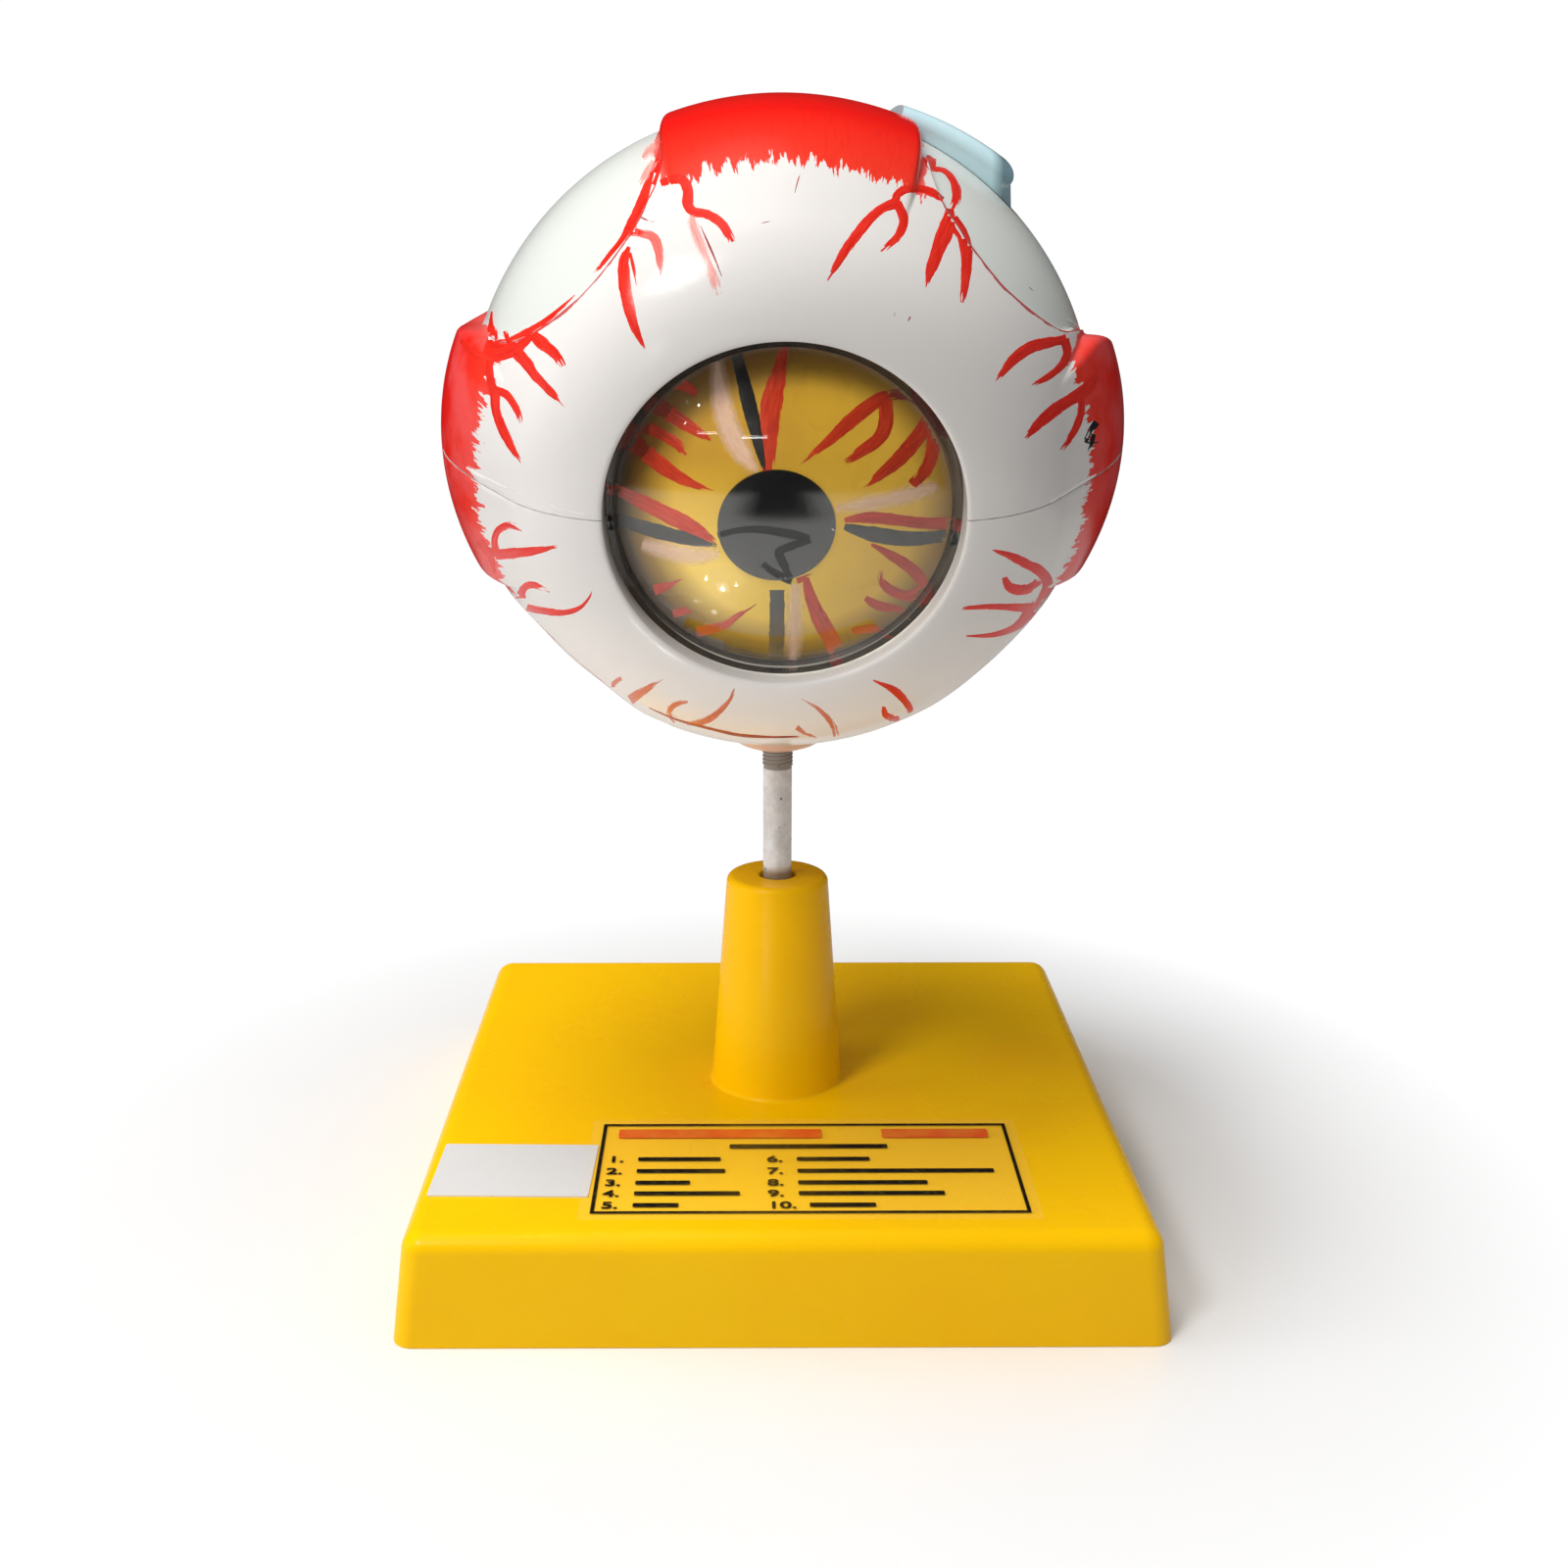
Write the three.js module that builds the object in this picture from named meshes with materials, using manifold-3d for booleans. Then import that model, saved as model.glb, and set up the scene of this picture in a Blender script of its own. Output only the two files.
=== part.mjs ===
// Take-apart anatomy model of the eye on a moulded stand.
// Millimetres, +Z up, origin at the middle of the underside of the base, the front of the eye towards -Y.
import * as THREE from 'three';
import { mergeVertices } from 'three/addons/utils/BufferGeometryUtils.js';
import Module from 'manifold-3d';

const wasm = await Module();
wasm.setup();

// Clearances
const gap = 0.3;
const halfSeam = gap / 2;
const pastFace = 1;

// Stand
const baseSide = 150;
const baseTaper = 2.25;
const baseHeight = 21.8;
const baseCornerRadius = 4;
const baseEdgeRadius = 3.5;
const baseWall = 3;
const ribThickness = 2;
const ribLift = 8;
const postHeight = 48.1;
const postFootRadius = 14.6;
const postTopRadius = 11.3;
const postRimRadius = 1.6;
const postFootFillet = 0.8;
const postWall = 2.8;
const socketRadius = 6.6;
const socketLift = 11;
const socketFloor = 3;
const boreTopRadius = 4;
const boreFloorRadius = 3.6;

// Stickers on the base
const stickerThickness = 0.3;
const cardWidth = 87.6;
const cardDepth = 41;
const cardFrontMargin = 7.35;
const labelWidth = 32;
const labelDepth = 22;
const labelSideMargin = 2.65;
const labelFrontMargin = 15.75;
const labelTurn = 1.2;

// Stem
const rodRadius = 3.15;
const threadRadius = 3.35;
const threadBare = 3.1;
const threadPitch = 0.85;
const threadDepth = 0.3;
const nutAcrossFlats = 11.1;
const nutHeight = 5.2;
const washerRadius = 7.4;
const washerThickness = 1.2;
const rodEndStand = 1.2;

// Place and tilt of the eye
const eyeHeight = 169.2;
const eyeForward = 12.8;
const eyeNod = 14.7;

// Shell of the eyeball
const ballRadius = 63;
const shellWall = 3.5;
const sheetRise = 1.3;
const ridgePolar = 57;
const ridgeMusclePolar = 78;
const ridgeWidth = 2.2;
const ridgeReach = 22.5;
const windowRadius = 32.85;
const windowFlat = 3.76;
const windowEdge = 0.7;
const flatStart = 52;
const collarDepth = 7.2;

// Raised ends of the straight muscles, in millimetres of rise and degrees round the pupil axis
const muscleStart = 54;
const muscleTail = 101;
const muscleEnd = 128;
const muscleTailRise = 2.4;
const muscleEdge = 3.5;
const muscleEndSlope = 4;
const narrowStart = 72;
const narrowEnd = 92;
const sideRise = 6.1;
const sideCrest = 84;
const sideHalfAngle = 24.5;
const sideNarrow = 6.5;
const sideCrown = 0.18;
const sideSweep = 2.5;
const bottomRise = 4;
const topAzimuth = 89;
const topRise = 4.5;
const topCrest = 78;
const topHalfAngle = 24;
const topNarrow = 0;
const topCrown = 0;
const topSweep = 5;

// Boss that takes the rod
const bossFootRadius = 6;
const bossRootRadius = 11;
const bossDrop = 8.5;
const bossBulge = 5;
const nutSeatDepth = 4.2;

// Locating pegs
const pegRadius = 1.4;
const pegReach = 4;
const pegChamfer = 0.5;

// Oblique muscle strap: it thins and leans back from its free end to the side of the top muscle
const obliqueFront = 88;
const obliqueSlant = 6;
const obliqueBack = 114;
const obliqueLow = 46.2;
const obliqueEndLean = 4.3;
const obliqueRise = 5.7;
const obliqueRootRise = 3.9;
const obliqueBevel = 2.2;

// Cornea, iris and pupil
const flangeRadius = 36.5;
const corneaWall = 1.6;
const corneaFlange = 1.5;
const corneaPlay = 0.5;
const corneaShoulderDrop = 3.4;
const corneaProud = 5.6;
const irisWall = 1.6;
const irisFlange = 1.5;
const irisPlay = 0.5;
const irisShoulderDrop = 6.2;
const irisProud = 2.3;
const pupilRadius = 10.4;
const pupilProud = 0.35;
const pupilLip = 1.8;
const pupilLipThickness = 1;
const pupilSeat = 0.4;
const pupilOffset = -1.5;

// Lens and its holder
const lensRadius = 21;
const lensHalfThickness = 8;
const lensEdge = 1.6;
const holderLip = 1.8;
const holderWall = 3;
const holderWeb = 3.4;
const flangeLip = 0.4;

// Retina and vitreous ball
const retinaSpace = 5.5;
const retinaWall = 2;
const retinaBehindHolder = 6.5;
const retinaRim = 2;
const vitreousWall = 1.6;
const vitreousMouth = 6;

// Optic nerve
const nerveDrop = 15;
const nerveRadius = 6;
const nerveLength = 21.5;
const nerveChamfer = 1;
const sheathRadius = 8.5;
const sheathLength = 16;
const sheathTaper = 0.5;
const sheathFlange = 11;
const sheathFlangeThickness = 2;
const discThickness = 1.6;

// Facets
const roundSteps = 36;
const ballSteps = 32;
const smallSteps = 20;
const pegSteps = 16;
const pupilSteps = 24;
const domeSteps = 5;
const arcStep = 10;
const freeArcStep = 20;
const muscleFractions = [-1, -0.86, -0.65, -0.35, 0, 0.35, 0.65, 0.86, 1];
const betweenFractions = [0.2, 0.5, 0.8];
const sheetRows = 6;
const muscleRows = 9;
const rearRows = 3;

const rad = THREE.MathUtils.degToRad;
const smooth = THREE.MathUtils.smoothstep;

// Solid modelling helpers
function solid(geometry) {
  const bare = geometry.index ? geometry.toNonIndexed() : geometry.clone();
  bare.deleteAttribute('normal');
  bare.deleteAttribute('uv');
  const merged = mergeVertices(bare, 1e-4);
  const index = merged.index.array;
  const faces = [];
  for (let i = 0; i < index.length; i += 3) {
    const [a, b, c] = [index[i], index[i + 1], index[i + 2]];
    if (a !== b && b !== c && c !== a) faces.push(a, b, c);
  }
  return new wasm.Manifold(new wasm.Mesh({
    numProp: 3,
    vertProperties: Float32Array.from(merged.attributes.position.array),
    triVerts: Uint32Array.from(faces),
  }));
}

function geometryOf(body) {
  const mesh = body.getMesh();
  const geometry = new THREE.BufferGeometry();
  geometry.setAttribute('position', new THREE.BufferAttribute(mesh.vertProperties.slice(), 3));
  geometry.setIndex(new THREE.BufferAttribute(mesh.triVerts.slice(), 1));
  geometry.computeVertexNormals();
  return geometry;
}

// A body turned about the pupil axis: each point is [radius, distance in front of the eye's centre].
function turned(points, steps = roundSteps) {
  const profile = points.map(([radius, axial]) => new THREE.Vector2(Math.max(radius, 0), -axial));
  const closed = profile[0].x > 0 || profile[profile.length - 1].x > 0;
  if (closed) profile.push(profile[0].clone());
  if (THREE.ShapeUtils.area(profile) < 0) profile.reverse();
  return solid(new THREE.LatheGeometry(profile, steps));
}

// A body turned about the vertical: each point is [radius, height].
function upright(points, steps = roundSteps) {
  const profile = points.map(([radius, height]) => new THREE.Vector2(Math.max(radius, 0), height));
  const closed = profile[0].x > 0 || profile[profile.length - 1].x > 0;
  if (closed) profile.push(profile[0].clone());
  if (THREE.ShapeUtils.area(profile) < 0) profile.reverse();
  return solid(new THREE.LatheGeometry(profile, steps).rotateX(Math.PI / 2));
}

// Points on an arc about [0, centre], from one polar angle to another.
function arc(centre, radius, fromAngle, toAngle, steps) {
  return Array.from({ length: steps + 1 }, (_, i) => {
    const angle = rad(fromAngle + (toAngle - fromAngle) * i / steps);
    return [radius * Math.sin(angle), centre + radius * Math.cos(angle)];
  });
}

// The same about the ball's own centre, with its corners at common angles so that nested shells stay parallel
function ballArc(radius, fromAngle, toAngle, step = arcStep) {
  const low = Math.min(fromAngle, toAngle);
  const high = Math.max(fromAngle, toAngle);
  const angles = [low];
  for (let angle = Math.ceil(low / step + 0.2) * step; angle < high - 1; angle += step) angles.push(angle);
  angles.push(high);
  const points = angles.map((angle) => [radius * Math.sin(rad(angle)), radius * Math.cos(rad(angle))]);
  return fromAngle < toAngle ? points : points.reverse();
}

function block(low, high) {
  const size = high.map((value, i) => value - low[i]);
  const middle = high.map((value, i) => (value + low[i]) / 2);
  return solid(new THREE.BoxGeometry(...size).translate(...middle));
}

// A cap of a sphere that meets the radius edge at the height shoulder and reaches apex on the axis.
function dome(edge, shoulder, apex) {
  const rise = apex - shoulder;
  const radius = (edge * edge + rise * rise) / (2 * rise);
  return { centre: apex - radius, radius, angle: THREE.MathUtils.radToDeg(Math.asin(edge / radius)) };
}

const far = ballRadius * 2;
const cavityRadius = ballRadius - shellWall;
const windowAxial = Math.sqrt(ballRadius ** 2 - windowRadius ** 2) - windowFlat;

// The eye's own frame sits in the stand's frame, nodded forward.
const eyeGroup = new THREE.Group();
eyeGroup.position.set(0, -eyeForward, eyeHeight);
eyeGroup.rotation.x = rad(eyeNod);
eyeGroup.updateMatrixWorld(true);
const standToEye = eyeGroup.matrixWorld.clone().invert();

function inEye(body) {
  return solid(geometryOf(body).applyMatrix4(standToEye));
}

// Stand: a hollow square base and a cored post in one moulding
function roundedSquare(side, radius, cornerSteps) {
  const reach = side / 2 - radius;
  const outline = [];
  for (let corner = 0; corner < 4; corner += 1) {
    const [sx, sy] = [[1, 1], [-1, 1], [-1, -1], [1, -1]][corner];
    for (let i = 0; i <= cornerSteps; i += 1) {
      const angle = rad(corner * 90 + 90 * i / cornerSteps);
      outline.push([sx * reach + radius * Math.cos(angle), sy * reach + radius * Math.sin(angle)]);
    }
  }
  return outline;
}

function lofted(rings) {
  const count = rings[0].outline.length;
  const vertices = rings.flatMap(({ outline, z }) => outline.flatMap(([x, y]) => [x, y, z]));
  const faces = [];
  for (let ring = 0; ring < rings.length - 1; ring += 1) {
    for (let i = 0; i < count; i += 1) {
      const a = ring * count + i;
      const b = ring * count + (i + 1) % count;
      faces.push(a, b, b + count, a, b + count, a + count);
    }
  }
  const top = (rings.length - 1) * count;
  for (let i = 1; i < count - 1; i += 1) {
    faces.push(0, i + 1, i);
    faces.push(top, top + i, top + i + 1);
  }
  const geometry = new THREE.BufferGeometry();
  geometry.setAttribute('position', new THREE.Float32BufferAttribute(vertices, 3));
  geometry.setIndex(faces);
  return solid(geometry);
}

const cornerSteps = 4;
const baseTopSide = baseSide - 2 * baseTaper;
const slope = baseTaper / baseHeight;

function baseOuter() {
  const rings = [{ outline: roundedSquare(baseSide, baseCornerRadius, cornerSteps), z: 0 }];
  const edgeSteps = 3;
  for (let i = 0; i <= edgeSteps; i += 1) {
    const angle = rad(90 * i / edgeSteps);
    const z = baseHeight - baseEdgeRadius * (1 - Math.sin(angle));
    const inset = baseEdgeRadius * (1 - Math.cos(angle));
    const side = baseSide - 2 * slope * z - 2 * inset;
    rings.push({ outline: roundedSquare(side, baseCornerRadius, cornerSteps), z });
  }
  return lofted(rings);
}

function baseInner() {
  const ceiling = baseHeight - baseWall;
  const lowSide = baseSide - 2 * baseWall;
  const highSide = lowSide - 2 * slope * ceiling;
  return lofted([
    { outline: roundedSquare(lowSide, baseCornerRadius, cornerSteps), z: -pastFace },
    { outline: roundedSquare(highSide, baseCornerRadius, cornerSteps), z: ceiling },
  ]);
}

const postTop = baseHeight + postHeight;
const boreFloor = socketLift + socketFloor;

function postOuter() {
  const rim = Array.from({ length: 5 }, (_, i) => {
    const angle = rad(90 * i / 4);
    return [
      postTopRadius - postRimRadius * (1 - Math.cos(angle)),
      postTop - postRimRadius * (1 - Math.sin(angle)),
    ];
  });
  return upright([
    [0, baseHeight - baseWall],
    [postFootRadius + postFootFillet, baseHeight - baseWall],
    [postFootRadius + postFootFillet, baseHeight],
    [postFootRadius, baseHeight + postFootFillet],
    ...rim,
    [0, postTop],
  ]);
}

function postCore() {
  const ceiling = postTop - postWall - boreTopRadius;
  return upright([
    [socketRadius, 0],
    [postFootRadius - postWall, 0],
    [postFootRadius - postWall, baseHeight],
    [postTopRadius - postWall, ceiling],
    [socketRadius, ceiling],
  ]);
}

function socket() {
  const outer = socketRadius + 0.01;
  const top = postTop - postWall / 2;
  return upright([[0, socketLift], [outer, socketLift], [outer, top], [0, top]]);
}

function makeBaseShell() {
  const mouth = postTop + pastFace;
  const reach = (baseTopSide - baseWall) / 2;
  const ribTop = baseHeight - baseWall / 2;
  const half = ribThickness / 2;
  return baseOuter()
    .subtract(baseInner())
    .add(block([-reach, -half, ribLift], [reach, half, ribTop]))
    .add(block([-half, -reach, ribLift], [half, reach, ribTop]))
    .add(postOuter())
    .subtract(postCore())
    .add(socket())
    .subtract(upright([[0, boreFloor], [boreFloorRadius, boreFloor], [boreTopRadius, mouth], [0, mouth]]));
}

// Relief of the eyeball. Polar is measured from the pupil axis, azimuth from the +X side towards the top.
const sideMuscle = {
  rise: sideRise,
  crest: sideCrest,
  halfAngle: sideHalfAngle,
  narrow: sideNarrow,
  crown: sideCrown,
  sweep: sideSweep,
};
const topMuscle = {
  rise: topRise,
  crest: topCrest,
  halfAngle: topHalfAngle,
  narrow: topNarrow,
  crown: topCrown,
  sweep: topSweep,
};
const muscles = [
  { ...sideMuscle, azimuth: 0 },
  { ...topMuscle, azimuth: topAzimuth },
  { ...sideMuscle, azimuth: 180 },
  { ...sideMuscle, rise: bottomRise, azimuth: 270 },
];

function azimuthFrom(azimuth, centre) {
  return Math.abs(((azimuth - centre + 540) % 360) - 180);
}

function nearestMuscle(azimuth) {
  return muscles
    .map((muscle) => ({ muscle, offset: azimuthFrom(azimuth, muscle.azimuth) }))
    .sort((a, b) => (a.offset - a.muscle.halfAngle) - (b.offset - b.muscle.halfAngle))[0];
}

// The front sheet reaches back along the muscles and is scooped forward between them.
function ridgePolarAt(azimuth) {
  const { muscle, offset } = nearestMuscle(azimuth);
  const between = THREE.MathUtils.clamp((offset - muscle.halfAngle) / ridgeReach, 0, 1);
  return ridgePolar + (ridgeMusclePolar - ridgePolar) * (1 - between) ** muscle.sweep;
}

function halfAngleAt(muscle, polar) {
  return muscle.halfAngle - muscle.narrow * smooth(polar, narrowStart, narrowEnd);
}

// A muscle climbs out of the sheet to its crest, rolls over and runs back as a low band with a blunt end.
function muscleRiseAt(polar, azimuth) {
  const { muscle, offset } = nearestMuscle(azimuth);
  const halfAngle = halfAngleAt(muscle, polar);
  const across = 1 - smooth(offset, halfAngle - muscleEdge, halfAngle);
  const climb = sheetRise + (muscle.rise - sheetRise) * smooth(polar, muscleStart, muscle.crest);
  const roll = (muscle.rise - muscleTailRise) * smooth(polar, muscle.crest, muscleTail);
  const crown = 1 - muscle.crown * (offset / halfAngle) ** 2;
  const fall = 1 - smooth(polar, muscleEnd - muscleEndSlope, muscleEnd);
  return (climb - roll) * crown * across * fall;
}

const windowPolar = THREE.MathUtils.radToDeg(Math.atan2(windowRadius, windowAxial));
const windowReach = Math.hypot(windowRadius, windowAxial);

function surfaceRadius(polar, azimuth) {
  const pastRidge = polar - ridgePolarAt(azimuth);
  const onSheet = 1 - smooth(pastRidge, -ridgeWidth / 2, ridgeWidth / 2);
  const flat = THREE.MathUtils.clamp((flatStart - polar) / (flatStart - windowPolar), 0, 1);
  const flatDrop = (ballRadius + sheetRise - windowReach) * flat ** 2;
  return ballRadius + Math.max(sheetRise * onSheet, muscleRiseAt(polar, azimuth)) - flatDrop;
}

function onBall(radius, polar, azimuth) {
  const [p, a] = [rad(polar), rad(azimuth)];
  return [
    radius * Math.sin(p) * Math.cos(a),
    -radius * Math.cos(p),
    radius * Math.sin(p) * Math.sin(a),
  ];
}

// Columns follow the muscle edges and rows follow the edge of the front sheet, so both stay crisp.
const columns = muscles.flatMap((muscle, i) => [
  ...muscleFractions.map((part) => ({ muscle, part })),
  ...betweenFractions.map((between) => ({ muscle, between, next: muscles[(i + 1) % muscles.length] })),
]);

function columnAzimuth({ muscle, part, between, next }, polar) {
  const halfAngle = halfAngleAt(muscle, polar);
  if (part !== undefined) return muscle.azimuth + part * halfAngle;
  const spacing = (next.azimuth - muscle.azimuth + 360) % 360;
  return muscle.azimuth + halfAngle + (spacing - halfAngle - halfAngleAt(next, polar)) * between;
}

function rowPolars(column) {
  const ridge = ridgePolarAt(columnAzimuth(column, ridgePolar));
  const steps = (from, to, count) => Array.from({ length: count }, (_, i) => from + (to - from) * i / count);
  return [
    ...steps(windowPolar, ridge - ridgeWidth / 2, sheetRows),
    ridge - ridgeWidth / 2,
    ...steps(ridge + ridgeWidth / 2, muscleEnd - muscleEndSlope, muscleRows),
    muscleEnd - muscleEndSlope,
    ...steps(muscleEnd, 180, rearRows),
  ];
}

function eyeballOuter() {
  const grid = columns.map((column) => rowPolars(column).map((polar) => {
    const azimuth = columnAzimuth(column, polar);
    return onBall(surfaceRadius(polar, azimuth), polar, azimuth);
  }));
  const rowCount = grid[0].length;
  const vertices = [[0, -windowAxial, 0], ...grid.flat(), [0, ballRadius, 0]].flat();
  const last = 1 + columns.length * rowCount;
  const point = (i) => new THREE.Vector3().fromArray(vertices, i * 3);
  const span = (i, j) => point(i).distanceTo(point(j));
  const faces = [];
  columns.forEach((_, j) => {
    const here = 1 + j * rowCount;
    const next = 1 + ((j + 1) % columns.length) * rowCount;
    faces.push(0, here, next);
    for (let i = 0; i < rowCount - 1; i += 1) {
      const [a, b, c, d] = [here + i, here + i + 1, next + i + 1, next + i];
      if (span(a, c) < span(b, d)) faces.push(a, b, c, a, c, d);
      else faces.push(b, c, d, b, d, a);
    }
    faces.push(here + rowCount - 1, last, next + rowCount - 1);
  });
  const geometry = new THREE.BufferGeometry();
  geometry.setAttribute('position', new THREE.Float32BufferAttribute(vertices, 3));
  geometry.setIndex(faces);
  return solid(geometry);
}

// Levels along the pupil axis, from the window inwards
const collarBack = windowAxial - collarDepth;
const corneaFlangeFront = collarBack - gap;
const corneaFlangeBack = corneaFlangeFront - corneaFlange;
const irisFlangeFront = corneaFlangeBack - gap;
const irisFlangeBack = irisFlangeFront - irisFlange;
const holderFront = irisFlangeBack - gap;
const lensApex = irisFlangeBack - 2 * gap;
const lensMiddle = lensApex - lensHalfThickness;
const lensBack = lensMiddle - lensHalfThickness;
const vitreousFront = lensBack - 2 * gap;
const retinaRadius = cavityRadius - retinaSpace - retinaWall;
const retinaFront = holderFront - holderWeb - retinaBehindHolder;
const vitreousRadius = retinaRadius - gap;

function polarAt(radius, axial) {
  return THREE.MathUtils.radToDeg(Math.acos(axial / radius));
}

function eyeballCavity() {
  return turned([
    [0, collarBack],
    ...ballArc(cavityRadius, polarAt(cavityRadius, collarBack), 180),
  ], ballSteps);
}

function windowBore() {
  return turned([
    [0, windowAxial + ballRadius],
    [windowRadius + windowEdge + ballRadius, windowAxial + ballRadius],
    [windowRadius + windowEdge, windowAxial],
    [windowRadius, windowAxial - windowEdge],
    [windowRadius, collarBack - pastFace],
    [0, collarBack - pastFace],
  ]);
}

function above(body) {
  return body.intersect(block([-far, -far, halfSeam], [far, far, far]));
}

function below(body) {
  return body.intersect(block([-far, -far, -far], [far, far, -halfSeam]));
}

// Places on the rod's line, in the stand's frame
const wallAtStem = Math.sqrt(cavityRadius ** 2 - eyeForward ** 2);
const bossBottom = eyeHeight - ballRadius - bossDrop;
const nutSeat = eyeHeight - wallAtStem - nutSeatDepth;
const nutBottom = nutSeat + gap;
const washerBottom = nutBottom + nutHeight + gap;
const rodBottom = boreFloor + gap;
const rodTop = washerBottom + washerThickness + rodEndStand;
const threadBottom = bossBottom - threadBare;
const hexRadius = nutAcrossFlats / Math.sqrt(3);

function hexPrism(radius, low, high) {
  const geometry = new THREE.CylinderGeometry(radius, radius, high - low, 6);
  return solid(geometry.rotateX(Math.PI / 2).translate(0, 0, (low + high) / 2));
}

// The boss bulges out of the bottom muscle and is cut flat at its foot.
function rodBoss() {
  const root = eyeHeight - wallAtStem - pastFace;
  const bulge = Array.from({ length: 6 }, (_, i) => {
    const angle = rad(90 * i / 5);
    return [
      bossFootRadius + (bossRootRadius - bossFootRadius) * Math.sin(angle),
      bossBottom + bossBulge * (1 - Math.cos(angle)),
    ];
  });
  return inEye(upright([[0, bossBottom], ...bulge, [bossRootRadius, root], [0, root]], smallSteps));
}

function rodPassage() {
  const hole = threadRadius + gap;
  const mouth = bossBottom - pastFace;
  const inside = nutSeat + pastFace;
  return inEye(upright([[0, mouth], [hole, mouth], [hole, inside], [0, inside]], smallSteps)
    .add(hexPrism(hexRadius + gap, nutSeat, washerBottom - gap))
    .add(upright([
      [0, washerBottom - gap],
      [washerRadius + gap, washerBottom - gap],
      [washerRadius + gap, rodTop],
      [0, rodTop],
    ], smallSteps)));
}

// Everything on the nerve's own line, which leaves the back of the ball below the seam
function alongNerve(body) {
  return solid(geometryOf(body).rotateX(rad(-nerveDrop)));
}

function nerveRod(radius, low, high) {
  return alongNerve(turned([[0, -low], [radius, -low], [radius, -high], [0, -high]], smallSteps));
}

// The pegs stand in the middle of the wall, where the side muscles thicken it.
const pegX = (cavityRadius + surfaceRadius(90, 0)) / 2;

function pegHole(side) {
  const hole = pegRadius + gap;
  const reach = pegReach + gap;
  return upright([[0, -reach], [hole, -reach], [hole, reach], [0, reach]], pegSteps)
    .translate(side * pegX, 0, 0);
}

const shell = eyeballOuter()
  .subtract(eyeballCavity())
  .subtract(windowBore())
  .subtract(pegHole(-1))
  .subtract(pegHole(1));

function makeScleraUpper() {
  return above(shell);
}

function makeScleraLower() {
  return below(shell
    .add(rodBoss().subtract(eyeballCavity()))
    .subtract(rodPassage())
    .subtract(nerveRod(sheathRadius + gap, cavityRadius - shellWall, ballRadius + shellWall)));
}

// The strap follows the ball from its free end up to the side of the top muscle, with a rounded outer edge.
function makeObliqueMuscle() {
  const acrossSteps = 8;
  const alongSteps = 8;
  const row = acrossSteps + 1;
  const layerSize = row * (alongSteps + 1);
  const seat = ballRadius + gap;
  const high = topAzimuth - topHalfAngle - THREE.MathUtils.radToDeg(gap / ballRadius);
  const vertices = [];
  for (let layer = 0; layer < 2; layer += 1) {
    const low = obliqueLow + layer * obliqueEndLean;
    for (let i = 0; i <= alongSteps; i += 1) {
      for (let j = 0; j <= acrossSteps; j += 1) {
        const across = 1 - Math.cos(rad(90 * j / acrossSteps));
        const along = (1 - Math.cos(rad(180 * i / alongSteps))) / 2;
        const front = obliqueFront + obliqueSlant * across;
        const polar = front + (obliqueBack - front) * along;
        const fromEnd = (high - low) * across;
        const edge = rad(Math.min(polar - front, obliqueBack - polar, fromEnd)) * ballRadius;
        const drop = obliqueBevel * (1 - Math.min(edge / obliqueBevel, 1)) ** 2;
        const rise = obliqueRise + (obliqueRootRise - obliqueRise) * across - drop;
        vertices.push(...onBall(seat + layer * rise, polar, low + fromEnd));
      }
    }
  }
  const faces = [];
  const quad = (a, b, c, d) => faces.push(a, b, c, a, c, d);
  for (let i = 0; i < alongSteps; i += 1) {
    const free = i * row;
    const held = free + acrossSteps;
    quad(free, free + row, layerSize + free + row, layerSize + free);
    quad(held + row, held, layerSize + held, layerSize + held + row);
    for (let j = 0; j < acrossSteps; j += 1) {
      const a = free + j;
      const b = layerSize + a;
      quad(a, a + 1, a + row + 1, a + row);
      quad(b, b + row, b + row + 1, b + 1);
    }
  }
  for (let j = 0; j < acrossSteps; j += 1) {
    const back = alongSteps * row + j;
    quad(j + 1, j, layerSize + j, layerSize + j + 1);
    quad(back, back + 1, layerSize + back + 1, layerSize + back);
  }
  const geometry = new THREE.BufferGeometry();
  geometry.setAttribute('position', new THREE.Float32BufferAttribute(vertices, 3));
  geometry.setIndex(faces);
  return solid(geometry);
}

function makePeg(side) {
  const tip = pegRadius - pegChamfer;
  return upright([
    [0, -pegReach],
    [pegRadius, -pegReach],
    [pegRadius, pegReach - pegChamfer],
    [tip, pegReach],
    [0, pegReach],
  ], pegSteps).translate(side * pegX, 0, 0);
}

// Cornea and iris: domes on flanges that the holder clamps behind the window collar
const skirtRadius = windowRadius - corneaPlay;
const corneaInnerRadius = skirtRadius - corneaWall;
const corneaShoulder = windowAxial - corneaShoulderDrop;
const corneaApex = windowAxial + corneaProud;

function makeCornea() {
  const outer = dome(skirtRadius, corneaShoulder, corneaApex);
  const inner = dome(corneaInnerRadius, corneaShoulder - corneaWall / 2, corneaApex - corneaWall);
  return turned([
    ...arc(outer.centre, outer.radius, 0, outer.angle, domeSteps),
    [skirtRadius, corneaFlangeFront],
    [flangeRadius, corneaFlangeFront],
    [flangeRadius, corneaFlangeBack],
    [corneaInnerRadius, corneaFlangeBack],
    ...arc(inner.centre, inner.radius, inner.angle, 0, domeSteps),
  ]);
}

const irisRadius = corneaInnerRadius - irisPlay;
const irisShoulder = windowAxial - irisShoulderDrop;
const irisApex = windowAxial + irisProud;
const irisOuter = dome(irisRadius, irisShoulder, irisApex);
const irisInner = dome(irisRadius - irisWall, irisShoulder - irisWall / 2, irisApex - irisWall);

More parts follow.
